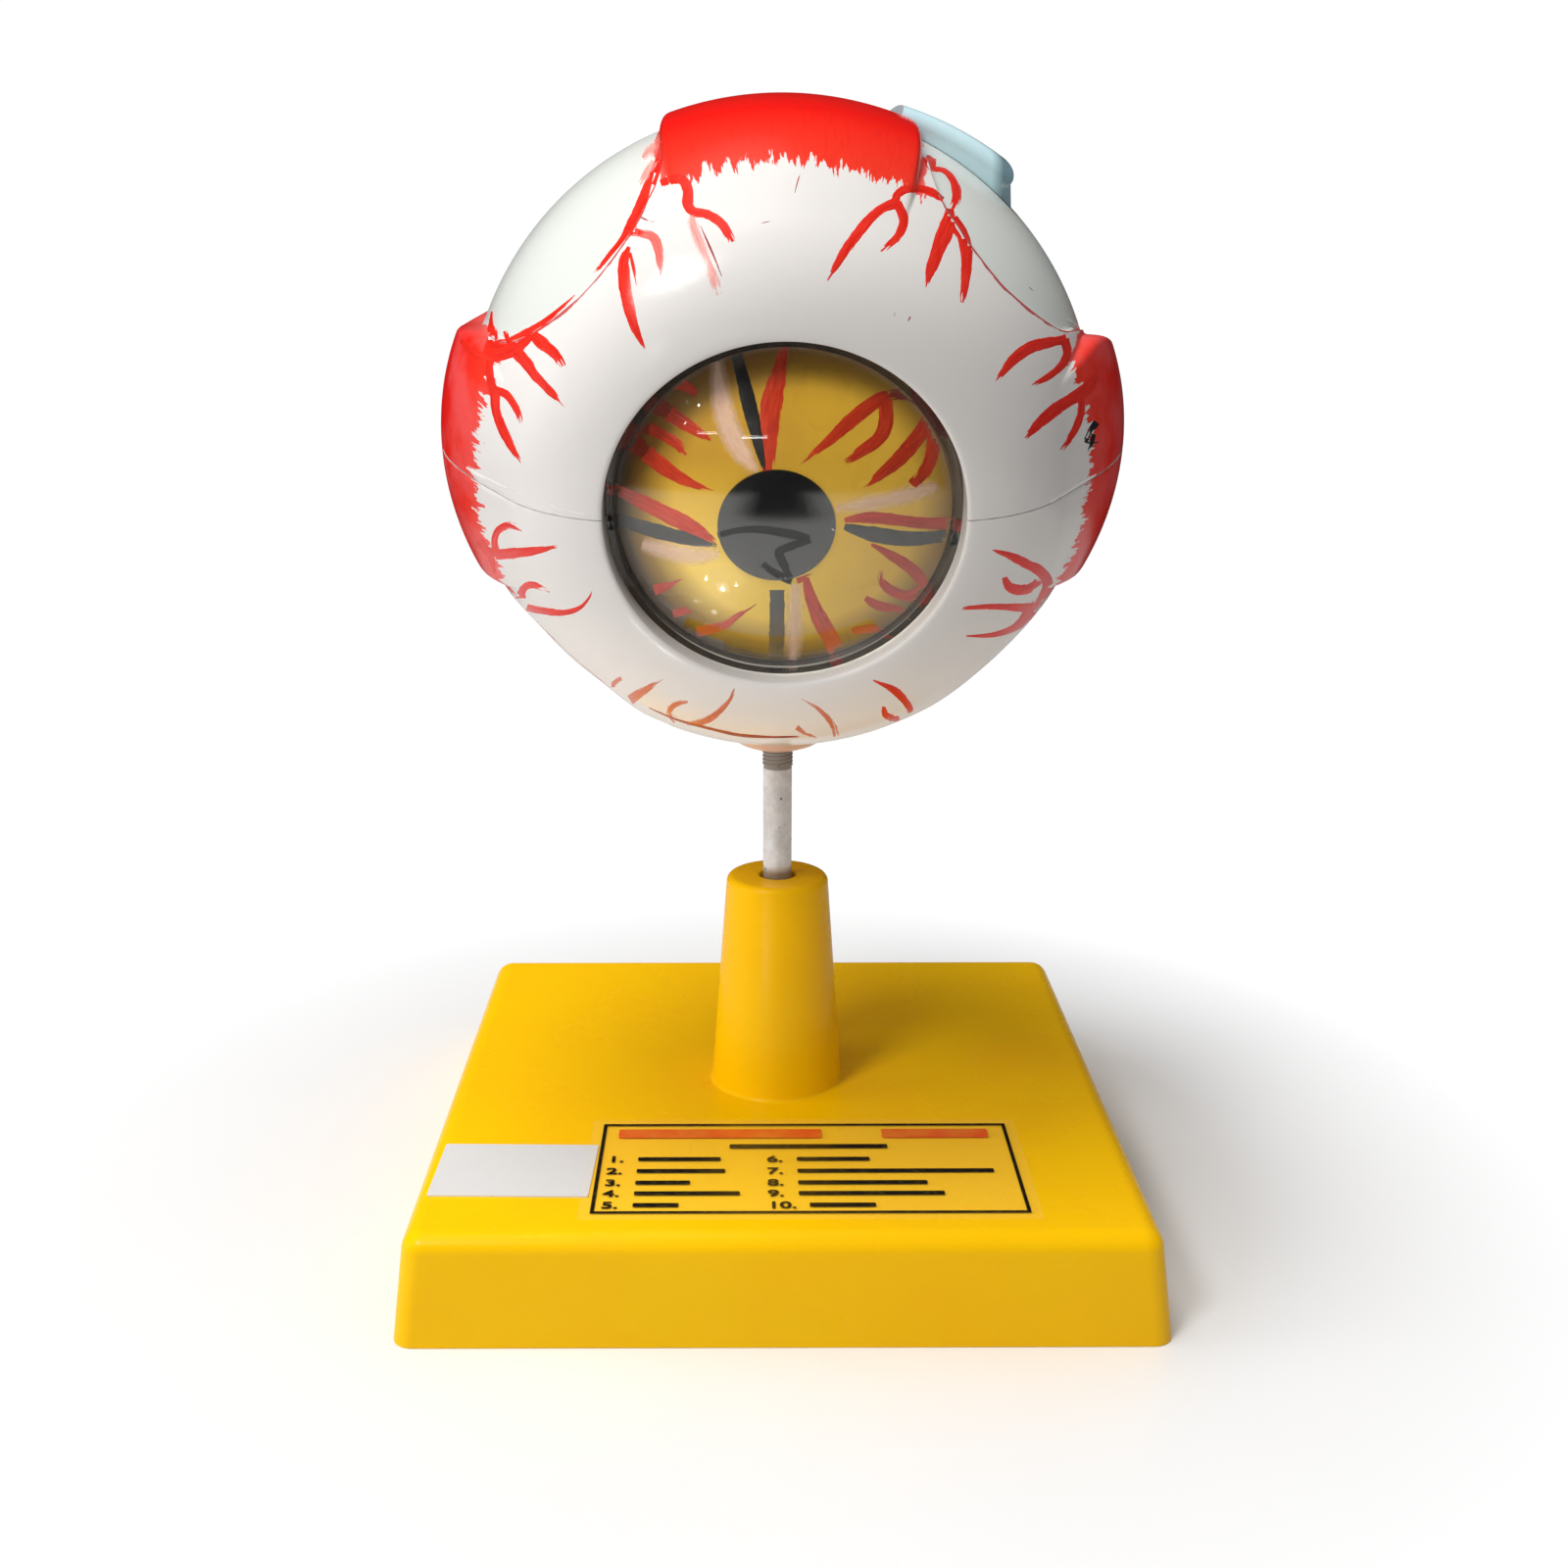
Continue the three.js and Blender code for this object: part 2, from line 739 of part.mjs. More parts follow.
function makeIris() {
  const hole = pupilRadius + gap;
  const body = turned([
    ...arc(irisOuter.centre, irisOuter.radius, 0, irisOuter.angle, domeSteps),
    [irisRadius, irisFlangeFront],
    [flangeRadius, irisFlangeFront],
    [flangeRadius, irisFlangeBack],
    [irisRadius - irisWall, irisFlangeBack],
    ...arc(irisInner.centre, irisInner.radius, irisInner.angle, 0, domeSteps),
  ]);
  return body.subtract(turned([[0, 0], [hole, 0], [hole, far], [0, far]], pupilSteps)
    .translate(pupilOffset, 0, 0));
}

function makePupilDisc() {
  const angle = THREE.MathUtils.radToDeg(Math.asin(pupilRadius / irisOuter.radius));
  const lip = pupilRadius + pupilLip;
  const back = irisInner.centre + Math.sqrt(irisInner.radius ** 2 - lip ** 2) - gap - pupilSeat;
  return turned([
    ...arc(irisOuter.centre, irisOuter.radius + pupilProud, 0, angle, 4),
    [pupilRadius, back],
    [lip, back],
    [lip, back - pupilLipThickness],
    [0, back - pupilLipThickness],
  ], pupilSteps).translate(pupilOffset, 0, 0);
}

function lensProfile(grow) {
  const edge = lensRadius + grow;
  const shoulder = lensEdge / 2 + grow / 2;
  const front = dome(edge, lensMiddle + shoulder, lensMiddle + lensHalfThickness + grow);
  const back = dome(edge, -lensMiddle + shoulder, -lensMiddle + lensHalfThickness + grow);
  const rear = arc(-back.centre, -back.radius, -back.angle, 0, domeSteps);
  return [
    ...arc(front.centre, front.radius, 0, front.angle, domeSteps),
    ...rear.map(([radius, axial]) => [Math.abs(radius), axial]),
  ];
}

function makeLens() {
  return turned(lensProfile(0));
}

// Holder ring: a lip round the two flanges, a web to the shell and a seat for the lens
function holderRing() {
  const outer = cavityRadius - gap;
  const lipRadius = flangeRadius + flangeLip;
  const front = collarBack - gap;
  const webBack = holderFront - holderWeb;
  const seat = lensRadius - holderLip;
  const sleeve = lensRadius + holderWall;
  const reach = lensMiddle - holderLip - lensEdge;
  return turned([
    [lipRadius, holderFront],
    [lipRadius, front],
    ...ballArc(outer, polarAt(outer, front), polarAt(outer, webBack)),
    [sleeve, webBack],
    [sleeve, reach],
    [seat, reach],
    [seat, holderFront],
  ], ballSteps).subtract(turned(lensProfile(gap)));
}

const ring = holderRing();

// Retina: a liner cup with a flat rim at the seam that centres it in the shell
function retinaCup() {
  const outer = retinaRadius + retinaWall;
  return turned([
    ...ballArc(outer, polarAt(outer, retinaFront), 180, freeArcStep),
    ...ballArc(retinaRadius, 180, polarAt(retinaRadius, retinaFront)),
  ], ballSteps);
}

function retinaRimPlate() {
  const outer = cavityRadius - gap;
  const inner = retinaRadius + retinaWall / 2;
  const half = retinaRim + halfSeam;
  return turned([
    ...ballArc(outer, polarAt(outer, retinaFront), 180),
    ...ballArc(inner, 180, polarAt(inner, retinaFront), freeArcStep),
  ], ballSteps).intersect(block([-far, -retinaFront, -half], [far, far, half]));
}

const retina = retinaCup().add(retinaRimPlate());

function makeRetinaLower() {
  const [inside, outside] = [retinaRadius - retinaWall, retinaRadius + 2 * retinaWall];
  return below(retina.subtract(nerveRod(nerveRadius + gap, inside, outside)));
}

// Vitreous: a blown ball with a flat front and a small blow hole behind the lens
function makeVitreous() {
  const inner = vitreousRadius - vitreousWall;
  const innerFront = vitreousFront - vitreousWall;
  return turned([
    [vitreousMouth, vitreousFront],
    ...ballArc(vitreousRadius, polarAt(vitreousRadius, vitreousFront), 180),
    ...ballArc(inner, 180, polarAt(inner, innerFront), freeArcStep),
    [vitreousMouth, innerFront],
  ], ballSteps);
}

// Optic nerve: a button in the retina, the core behind it and the sheath through the shell
const discFront = retinaRadius;
const nerveStart = discFront + discThickness + gap;

function makeNerveSheath() {
  const bore = nerveRadius + gap;
  const flangeBack = Math.sqrt((cavityRadius - gap) ** 2 - sheathFlange ** 2);
  const flangeFront = flangeBack - sheathFlangeThickness;
  const end = ballRadius + sheathLength;
  return alongNerve(turned([
    [bore, -flangeFront],
    [sheathFlange, -flangeFront],
    [sheathFlange, -flangeBack],
    [sheathRadius, -flangeBack],
    [sheathRadius - sheathTaper, -end],
    [bore, -end],
  ], smallSteps));
}

function makeOpticNerve() {
  const end = ballRadius + nerveLength;
  return alongNerve(turned([
    [0, -nerveStart],
    [nerveRadius, -nerveStart],
    [nerveRadius, nerveChamfer - end],
    [nerveRadius - nerveChamfer, -end],
    [0, -end],
  ], smallSteps));
}

// Stem: a plain rod with ring grooves on the threaded stretch below the boss
function makeStemRod() {
  const chamfer = 0.6;
  const points = [
    [0, rodBottom],
    [rodRadius - chamfer, rodBottom],
    [rodRadius, rodBottom + chamfer],
    [rodRadius, threadBottom],
  ];
  const turns = Math.floor((bossBottom - threadBottom) / threadPitch);
  for (let i = 0; i < turns; i += 1) {
    const z = threadBottom + threadPitch * i;
    points.push([threadRadius - threadDepth, z + threadPitch * 0.15]);
    points.push([threadRadius, z + threadPitch * 0.5]);
    points.push([threadRadius - threadDepth, z + threadPitch * 0.95]);
  }
  points.push([threadRadius, threadBottom + threadPitch * turns + threadPitch * 0.4]);
  points.push([threadRadius, rodTop - chamfer], [threadRadius - chamfer, rodTop], [0, rodTop]);
  return upright(points, smallSteps);
}

function makeStemNut() {
  const hole = threadRadius + gap;
  const top = nutBottom + nutHeight;
  const [low, high] = [nutBottom - pastFace, top + pastFace];
  return hexPrism(hexRadius, nutBottom, top)
    .subtract(upright([[0, low], [hole, low], [hole, high], [0, high]], smallSteps));
}

function makeNutWasher() {
  const hole = threadRadius + gap;
  const top = washerBottom + washerThickness;
  return upright([
    [hole, washerBottom],
    [washerRadius, washerBottom],
    [washerRadius, top],
    [hole, top],
  ], smallSteps);
}

function makeSticker(width, depth) {
  return block([-width / 2, -depth / 2, 0], [width / 2, depth / 2, stickerThickness]);
}

// Materials
function finish(color, roughness, metalness = 0, opacity = 1) {
  return new THREE.MeshStandardMaterial({ color, roughness, metalness, opacity, transparent: opacity < 1 });
}

function piece(name, body, material) {
  const mesh = new THREE.Mesh(geometryOf(body), material);
  mesh.name = name;
  return mesh;
}

// Assembly
const model = new THREE.Group();
const rim = baseTopSide / 2;
const labelX = labelSideMargin + labelWidth / 2 - rim;
const cardX = labelX + labelWidth / 2 + 2 * gap + cardWidth / 2;
const card = piece('key_card', makeSticker(cardWidth, cardDepth), finish(0xe8b020, 0.3, 0, 0.6));
card.position.set(cardX, cardFrontMargin + cardDepth / 2 - rim, baseHeight);
const label = piece('blank_label', makeSticker(labelWidth, labelDepth), finish(0xf4f4f6, 0.45));
label.position.set(labelX, labelFrontMargin + labelDepth / 2 - rim, baseHeight);
label.rotation.z = rad(labelTurn);
model.add(piece('base_shell', makeBaseShell(), finish(0xfbc411, 0.3)), card, label);
model.add(piece('stem_rod', makeStemRod(), finish(0xc1bcb5, 0.45, 0.9)));
model.add(piece('stem_nut', makeStemNut(), finish(0xb8b4a8, 0.4, 0.9)));
model.add(piece('nut_washer', makeNutWasher(), finish(0xc4c2bc, 0.4, 0.9)));

const discBody = alongNerve(turned([
  [0, -discFront],
  [nerveRadius, -discFront],
  [nerveRadius, -discFront - discThickness],
  [0, -discFront - discThickness],
], smallSteps));

eyeGroup.add(
  piece('sclera_lower', makeScleraLower(), finish(0xece8e2, 0.35)),
  piece('sclera_upper', makeScleraUpper(), finish(0xf0eee8, 0.35)),
  piece('oblique_muscle', makeObliqueMuscle(), finish(0xc8e8f2, 0.3)),
  piece('locating_peg_left', makePeg(-1), finish(0xd8d4cc, 0.4)),
  piece('locating_peg_right', makePeg(1), finish(0xd8d4cc, 0.4)),
  piece('retina_lower', makeRetinaLower(), finish(0xe2a13c, 0.5)),
  piece('retina_upper', above(retina), finish(0xe2a13c, 0.5)),
  piece('ciliary_ring_lower', below(ring), finish(0x9c3a2c, 0.5)),
  piece('ciliary_ring_upper', above(ring), finish(0x9c3a2c, 0.5)),
  piece('cornea', makeCornea(), finish(0xffffff, 0.05, 0, 0.2)),
  piece('iris', makeIris(), finish(0xd4ab4c, 0.4)),
  piece('pupil_disc', makePupilDisc(), finish(0x212023, 0.15)),
  piece('lens', makeLens(), finish(0xf4f8fa, 0.05, 0, 0.35)),
  piece('vitreous_humour', makeVitreous(), finish(0xeef6f8, 0.05, 0, 0.3)),
  piece('optic_disc', discBody, finish(0xf3e28a, 0.5)),
  piece('optic_nerve', makeOpticNerve(), finish(0xf0d060, 0.5)),
  piece('nerve_sheath', makeNerveSheath(), finish(0xe9e2c4, 0.5)),
);
model.add(eyeGroup);

export default model;
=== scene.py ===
# %% [markdown]
# # A take-apart eye on a yellow stand
# The real thing is a classroom model: a hollow white ball, five times life size, that opens along its
# middle and holds a clear cornea, an iris, a lens, a clear inner ball and a retina cup. It stands on a rod
# in a yellow moulded base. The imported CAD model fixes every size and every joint, so this scene only
# dresses it: each piece is modelled again with finer form, and rides on the body that carries it.

# %% Load the frame
import math
import random

import bmesh
import bpy
import numpy as np
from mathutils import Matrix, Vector
from mathutils.bvhtree import BVHTree


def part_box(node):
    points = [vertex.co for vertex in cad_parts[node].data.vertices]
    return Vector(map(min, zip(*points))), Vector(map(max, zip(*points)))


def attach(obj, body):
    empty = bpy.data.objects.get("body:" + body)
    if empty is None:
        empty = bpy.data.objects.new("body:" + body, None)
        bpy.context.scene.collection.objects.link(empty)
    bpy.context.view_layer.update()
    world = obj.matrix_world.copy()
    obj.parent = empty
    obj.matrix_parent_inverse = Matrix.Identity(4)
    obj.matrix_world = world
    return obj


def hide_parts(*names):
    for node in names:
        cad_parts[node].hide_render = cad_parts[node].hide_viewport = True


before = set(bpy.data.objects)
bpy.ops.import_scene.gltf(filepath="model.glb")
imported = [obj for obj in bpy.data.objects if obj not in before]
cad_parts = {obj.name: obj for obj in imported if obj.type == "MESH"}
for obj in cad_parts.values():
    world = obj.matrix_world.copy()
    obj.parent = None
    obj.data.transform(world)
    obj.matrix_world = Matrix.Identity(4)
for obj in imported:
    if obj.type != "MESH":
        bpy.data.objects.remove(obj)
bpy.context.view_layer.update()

MM = 0.001

# %% [markdown]
# ## The camera
# The photograph was taken from slightly above and almost straight in front, from about 38 cm. A camera
# could be placed by eye, but its place, tilt and lens come from one fit to the base, the post and the ball,
# so that every outline falls where it falls in the photograph. The small shift stands for the way that
# the picture was cropped.

# %% The camera at the photograph's place
FRAME_PX = 1600
SENSOR_MM = 36
FOCAL_PX = 1842
CENTRE_PX = (768, 700)
CAMERA_PLACE_MM = (-7.3, -384.16, 197.48)
CAMERA_PITCH = 12.44
CAMERA_YAW = -0.27

camera_data = bpy.data.cameras.new("photo_camera")
camera = bpy.data.objects.new("photo_camera", camera_data)
bpy.context.scene.collection.objects.link(camera)
bpy.context.scene.camera = camera
camera_data.sensor_width = SENSOR_MM
camera_data.lens = SENSOR_MM * FOCAL_PX / FRAME_PX
camera_data.shift_x = (FRAME_PX / 2 - CENTRE_PX[0]) / FRAME_PX
camera_data.shift_y = (CENTRE_PX[1] - FRAME_PX / 2) / FRAME_PX
camera_data.clip_start = 10 * MM
camera.location = Vector(CAMERA_PLACE_MM) * MM
camera.rotation_euler = (math.radians(90 - CAMERA_PITCH), 0, math.radians(CAMERA_YAW))
bpy.context.view_layer.update()
print(f"lens {camera_data.lens:.1f} mm, shift {camera_data.shift_x:.3f}, {camera_data.shift_y:.4f}")


def sight_line(x, y):
    """The direction in which the camera sees one pixel of the photograph."""
    ray = Vector(((x - CENTRE_PX[0]) / FOCAL_PX, (CENTRE_PX[1] - y) / FOCAL_PX, -1))
    return (camera.matrix_world.to_3x3() @ ray).normalized()


# %% [markdown]
# ## Working by hand, in code
# An operator acts on whatever is selected, so these helpers let go of everything first and then pick
# vertices, edges or faces by a test on their place or normal, as a modeller would click them.

# %% Selecting and finishing
def take(*pieces):
    """Leaves edit mode and selects only these pieces, the last one active."""
    if bpy.context.mode != "OBJECT":
        bpy.ops.object.mode_set(mode="OBJECT")
    bpy.ops.object.select_all(action="DESELECT")
    for piece in pieces:
        piece.select_set(True)
        bpy.context.view_layer.objects.active = piece


def open_mesh(piece):
    """Opens a piece in edit mode with nothing selected."""
    take(piece)
    bpy.ops.object.mode_set(mode="EDIT")
    bpy.ops.mesh.select_all(action="DESELECT")


def pick(piece, kind, test):
    """Selects the parts of one kind that pass the test, and returns how many there are."""
    bpy.ops.mesh.select_mode(type=kind)
    bpy.ops.mesh.select_all(action="DESELECT")
    mesh = bmesh.from_edit_mesh(piece.data)
    parts = {"VERT": mesh.verts, "EDGE": mesh.edges, "FACE": mesh.faces}[kind]
    chosen = [part for part in parts if test(part)]
    for part in chosen:
        part.select_set(True)
    mesh.select_flush_mode()
    bmesh.update_edit_mesh(piece.data)
    return len(chosen)


def named(name):
    """Names the piece that an operator has just added."""
    piece = bpy.context.object
    piece.name = piece.data.name = name
    return piece


def face_out():
    """Turns every face of the open mesh outward."""
    bpy.ops.mesh.select_all(action="SELECT")
    bpy.ops.mesh.normals_make_consistent(inside=False)


def push_up(height):
    """Extrudes the whole open mesh upward by a height in mm, with its faces outward."""
    bpy.ops.mesh.select_all(action="SELECT")
    bpy.ops.mesh.extrude_region_move(TRANSFORM_OT_translate={"value": (0, 0, height * MM)})
    face_out()


def joined(name, *pieces):
    """Joins pieces into the last one and names the whole."""
    take(*pieces)
    bpy.ops.object.join()
    return named(name)


def finish_shape(piece, angle=35):
    """Puts the piece's place into its mesh and shades it smooth up to an angle."""
    take(piece)
    bpy.ops.object.transform_apply(location=True, rotation=True, scale=True)
    bpy.ops.object.shade_smooth_by_angle(angle=math.radians(angle))
    print(piece.name, len(piece.data.polygons), "faces")
    return piece


# %% [markdown]
# ## Turned shapes
# Most pieces are round. Each is drawn as half of its cross-section, one vertex after another, and spun
# round its axis, as clay is turned on a wheel. The spin operator turns against the usual direction, so
# its angle is given a minus sign.

# %% Spin an outline
def trace(name, places):
    """Draws a line of vertices through places and leaves it open in edit mode."""
    take()
    bpy.ops.mesh.primitive_plane_add(size=MM, location=places[0])
    piece = named(name)
    bpy.ops.object.mode_set(mode="EDIT")
    bpy.ops.mesh.select_mode(type="VERT")
    bpy.ops.mesh.select_all(action="SELECT")
    bpy.ops.mesh.merge(type="CENTER")
    for here, there in zip(places, places[1:]):
        bpy.ops.mesh.extrude_vertices_move(TRANSFORM_OT_translate={"value": there - here})
    return piece


def spun(name, outline, centre, axis, across, sweep=360, steps=96, closed=False):
    """Spins an outline of (radius, height) points in mm; a closed half turn gets end faces."""
    places = [centre + (across * radius + axis * height) * MM for radius, height in outline]
    piece = trace(name, places)
    if closed:
        bpy.ops.mesh.select_all(action="SELECT")
        if sweep < 360:
            bpy.ops.mesh.edge_face_add()
        else:
            ends = (Vector(places[0]), Vector(places[-1]))
            home = piece.matrix_world
            pick(piece, "VERT", lambda v: min((home @ v.co - end).length for end in ends) < 1e-7)
            bpy.ops.mesh.edge_face_add()
    bpy.ops.mesh.select_all(action="SELECT")
    bpy.ops.mesh.spin(steps=steps, angle=-math.radians(sweep), center=centre, axis=axis)
    bpy.ops.mesh.select_all(action="SELECT")
    bpy.ops.mesh.remove_doubles(threshold=0.002 * MM)
    bpy.ops.mesh.normals_make_consistent(inside=False)
    bpy.ops.object.mode_set(mode="OBJECT")
    return piece


X_AXIS = Vector((1, 0, 0))
Z_AXIS = Vector((0, 0, 1))
ORIGIN = Vector((0, 0, 0))

# The eye's own frame: its pupil looks forward and a little down
EYE = Vector((0, -12.8, 169.2)) * MM
EYE_NOD = math.radians(14.7)
FORWARD = Vector((0, -math.cos(EYE_NOD), -math.sin(EYE_NOD)))
EYE_UP = Vector((0, -math.sin(EYE_NOD), math.cos(EYE_NOD)))


def arc(radius, start, end, steps, centre=0):
    """Points of a circle round a place on the axis, by degrees from the axis."""
    turn = [math.radians(start + (end - start) * i / steps) for i in range(steps + 1)]
    return [(abs(radius * math.sin(a)), centre + radius * math.cos(a)) for a in turn]


def dome(edge, shoulder, apex, steps=16):
    """Points of a shallow dome from its apex on the axis to its edge."""
    rise = apex - shoulder
    radius = (edge**2 + rise**2) / (2 * rise)
    return arc(radius, 0, math.degrees(math.asin(edge / radius)), steps, apex - radius)


def polar_at(radius, height):
    """The angle from the axis at which a sphere has a height."""
    return math.degrees(math.acos(height / radius))


def ball_outline(name, outline, across=X_AXIS, **settings):
    """Spins an outline round the line of sight of the eye."""
    return spun(name, outline, EYE, FORWARD, across, **settings)


# %% [markdown]
# ## Materials
# Colours are written as the hex values that a painter would read off the object, and one function turns
# them to the linear numbers that the renderer needs. One more function adds any node with its settings
# and gives its output, so that nodes are put together like sums.

# %% Colour and nodes
def linear(hex_colour):
    """A colour of the renderer from an sRGB hex value."""
    parts = [int(hex_colour[i:i + 2], 16) / 255 for i in (0, 2, 4)]
    return [c / 12.92 if c <= 0.04045 else ((c + 0.055) / 1.055) ** 2.4 for c in parts] + [1]


def fill(node, sockets):
    """Gives a node's sockets their values, or links them to the outputs of other nodes."""
    for socket, value in sockets.items():
        if isinstance(value, bpy.types.NodeSocket):
            node.id_data.links.new(value, node.inputs[socket])
        else:
            node.inputs[socket].default_value = value


def add(tree, kind, sockets=None, output=0, **settings):
    """Adds one shader node with its settings and gives one of its outputs, or all of them."""
    node = tree.nodes.new("ShaderNode" + kind)
    for name, value in settings.items():
        setattr(node, name, value)
    fill(node, sockets or {})
    return node.outputs if output is None else node.outputs[output]


def new_material(name, roughness, ior=1.5, metallic=0.0):
    """A material with its Principled shader and the object's own coordinates."""
    made = bpy.data.materials.new(name)
    made.use_nodes = True
    tree = made.node_tree
    shader = tree.nodes["Principled BSDF"]
    fill(shader, {"Roughness": roughness, "Metallic": metallic})
    if not metallic:
        fill(shader, {"IOR": ior})
    place = add(tree, "TexCoord", output="Object")
    return made, tree, shader, place


def per_mm(size):
    """The scale of a pattern whose features are this many millimetres apart, since a metre is the unit."""
    return 1000 / size


def blend(factor, first, second):
    """Mixes two colours, each a hex value or another node's output, in the tree of the factor."""
    ends = [linear(value) if isinstance(value, str) else value for value in (first, second)]
    return add(factor.id_data, "Mix", {0: factor, 6: ends[0], 7: ends[1]}, data_type="RGBA", output=2)


def ramp(value, low, high, to_low=0.0, to_high=1.0):
    """Stretches a value from one range to another, held at both ends, in the value's own tree."""
    return add(value.id_data, "MapRange", {0: value, 1: low, 2: high, 3: to_low, 4: to_high})


def moulded_skin(tree, shader, place, rough=(0.22, 0.34), peel_mm=2.5, strength=0.05):
    """The slight waviness and the patches of wear that a moulded and handled surface has."""
    peel = add(tree, "TexNoise", {"Vector": place, "Scale": per_mm(peel_mm), "Detail": 2})
    wear = add(tree, "TexNoise", {"Vector": place, "Scale": per_mm(30), "Detail": 5})
    bump = add(tree, "Bump", {"Height": peel, "Strength": strength, "Distance": 0.2 * MM})
    fill(shader, {"Roughness": ramp(wear, 0.35, 0.65, *rough), "Normal": bump})
    return wear


def mottled(name, light, dark, roughness, size_mm, detail=3, between=(0.35, 0.65), skin=None):
    """Ink or paint in two tones, given out by noise; a skin says how far its roughness reaches."""
    made, tree, shader, place = new_material(name, roughness)
    if skin:
        moulded_skin(tree, shader, place, rough=skin, peel_mm=2, strength=0.2)
    tone = add(tree, "TexNoise", {"Vector": place, "Scale": per_mm(size_mm), "Detail": detail})
    fill(shader, {"Base Color": blend(ramp(tone, *between), light, dark)})
    return made


def dress(piece, material, body, replaces=()):
    """Gives a piece its material, its body and the CAD nodes that it stands for."""
    piece.data.materials.clear()
    piece.data.materials.append(material)
    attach(piece, body)
    if replaces:
        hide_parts(*replaces)
    return piece


# %% [markdown]
# ## The stand
# The real stand is one moulding in glossy yellow ABS: a square box with softly rounded edges, open
# underneath with crossing ribs, and a tapered post that grows out of its top. A box could be enough from
# far away, but the highlights run along the rounded edges, so they are bevelled here with real radii. The
# post is turned, because its foot fillet, rim and bore are all round.

# %% The square base
BASE_SIDE = 150
BASE_TOP_SIDE = 145.5
BASE_HEIGHT = 21.8
BASE_WALL = 3
CORNER_RADIUS = 4
EDGE_RADIUS = 3.5

take()
bpy.ops.mesh.primitive_cube_add(size=1, location=(0, 0, BASE_HEIGHT / 2 * MM))
base = named("stand_base")
base.scale = (BASE_SIDE * MM, BASE_SIDE * MM, BASE_HEIGHT * MM)
take(base)
bpy.ops.object.transform_apply(location=True, scale=True)
open_mesh(base)
pick(base, "FACE", lambda face: face.normal.z > 0.9)
taper = BASE_TOP_SIDE / BASE_SIDE
bpy.ops.transform.resize(value=(taper, taper, 1))
pick(base, "EDGE", lambda edge: abs(edge.verts[0].co.z - edge.verts[1].co.z) > BASE_HEIGHT / 2 * MM)
bpy.ops.mesh.bevel(offset=CORNER_RADIUS * MM, segments=10)
top_level = BASE_HEIGHT * MM - 1e-6
pick(base, "EDGE", lambda edge: all(v.co.z > top_level for v in edge.verts))
bpy.ops.mesh.bevel(offset=EDGE_RADIUS * MM, segments=10)
pick(base, "FACE", lambda face: face.normal.z < -0.9)
bpy.ops.mesh.inset(thickness=BASE_WALL * MM)
bpy.ops.mesh.extrude_region_move(TRANSFORM_OT_translate={"value": (0, 0, (BASE_HEIGHT - BASE_WALL) * MM)})
bpy.ops.object.mode_set(mode="OBJECT")
print("base faces", len(base.data.polygons))

# %% The post, turned with its foot fillet, rim and bore
POST_TOP = BASE_HEIGHT + 48.1
POST_FOOT, POST_RIM = 14.6, 11.3
POST_WALL = 2.8
FOOT_FILLET, RIM_RADIUS, MOUTH_RADIUS = 0.8, 1.6, 0.5
BORE_MOUTH, BORE_FLOOR = 4, 3.6
SOCKET_RADIUS, SOCKET_LOW, SOCKET_FLOOR = 6.6, 11, 14
SOCKET_HIGH = POST_TOP - POST_WALL - 4
BASE_UNDER = BASE_HEIGHT - BASE_WALL

rim_arc = [(POST_RIM - RIM_RADIUS + r, POST_TOP - RIM_RADIUS + z) for r, z in arc(RIM_RADIUS, 84, 0, 8)]
foot_centre = (POST_FOOT + FOOT_FILLET, BASE_HEIGHT + FOOT_FILLET)
foot_arc = [(foot_centre[0] - r, foot_centre[1] - z) for r, z in arc(FOOT_FILLET, 0, 88, 6)]
mouth_centre = (BORE_MOUTH + MOUTH_RADIUS, POST_TOP - MOUTH_RADIUS)
mouth_arc = [(mouth_centre[0] - r, mouth_centre[1] + z) for r, z in arc(MOUTH_RADIUS, 0, 90, 4)]
post_outline = [
    (POST_FOOT - POST_WALL, BASE_UNDER - 0.01),
    (POST_FOOT + FOOT_FILLET, BASE_UNDER - 0.01),
    *foot_arc,
    *rim_arc,
    *mouth_arc,
    (BORE_FLOOR, SOCKET_FLOOR),
    (0, SOCKET_FLOOR),
    (0, SOCKET_LOW),
    (SOCKET_RADIUS, SOCKET_LOW),
    (SOCKET_RADIUS, SOCKET_HIGH),
    (POST_RIM - POST_WALL, SOCKET_HIGH),
]
post = spun("stand_post", post_outline, ORIGIN, Z_AXIS, X_AXIS, closed=True)
print("post faces", len(post.data.polygons))

# %% A round hole under the post, cut with a Boolean modifier
take()
bpy.ops.mesh.primitive_cylinder_add(
    vertices=64, radius=(POST_FOOT - POST_WALL / 2) * MM, depth=BASE_WALL * 2 * MM,
    location=(0, 0, (BASE_HEIGHT - BASE_WALL / 2) * MM),
)
hole_cutter = named("hole_cutter")
take(base)
cut = base.modifiers.new("hole", "BOOLEAN")
cut.object = hole_cutter
cut.solver = "EXACT"
bpy.ops.object.modifier_apply(modifier=cut.name)
bpy.data.objects.remove(hole_cutter)

# %% The ribs under the base
RIB = 2
RIB_LOW, RIB_ROOT = 8, BASE_UNDER + 0.5


def rib(name, size_x, size_y, x, y):
    """One upright rib, pulled down from the underside of the base's top."""
    take()
    bpy.ops.mesh.primitive_plane_add(size=MM, location=(x * MM, y * MM, RIB_ROOT * MM))
    piece = named(name)
    piece.scale = (size_x, size_y, 1)
    bpy.ops.object.transform_apply(location=True, scale=True)
    open_mesh(piece)
    push_up(RIB_LOW - RIB_ROOT)
    return piece


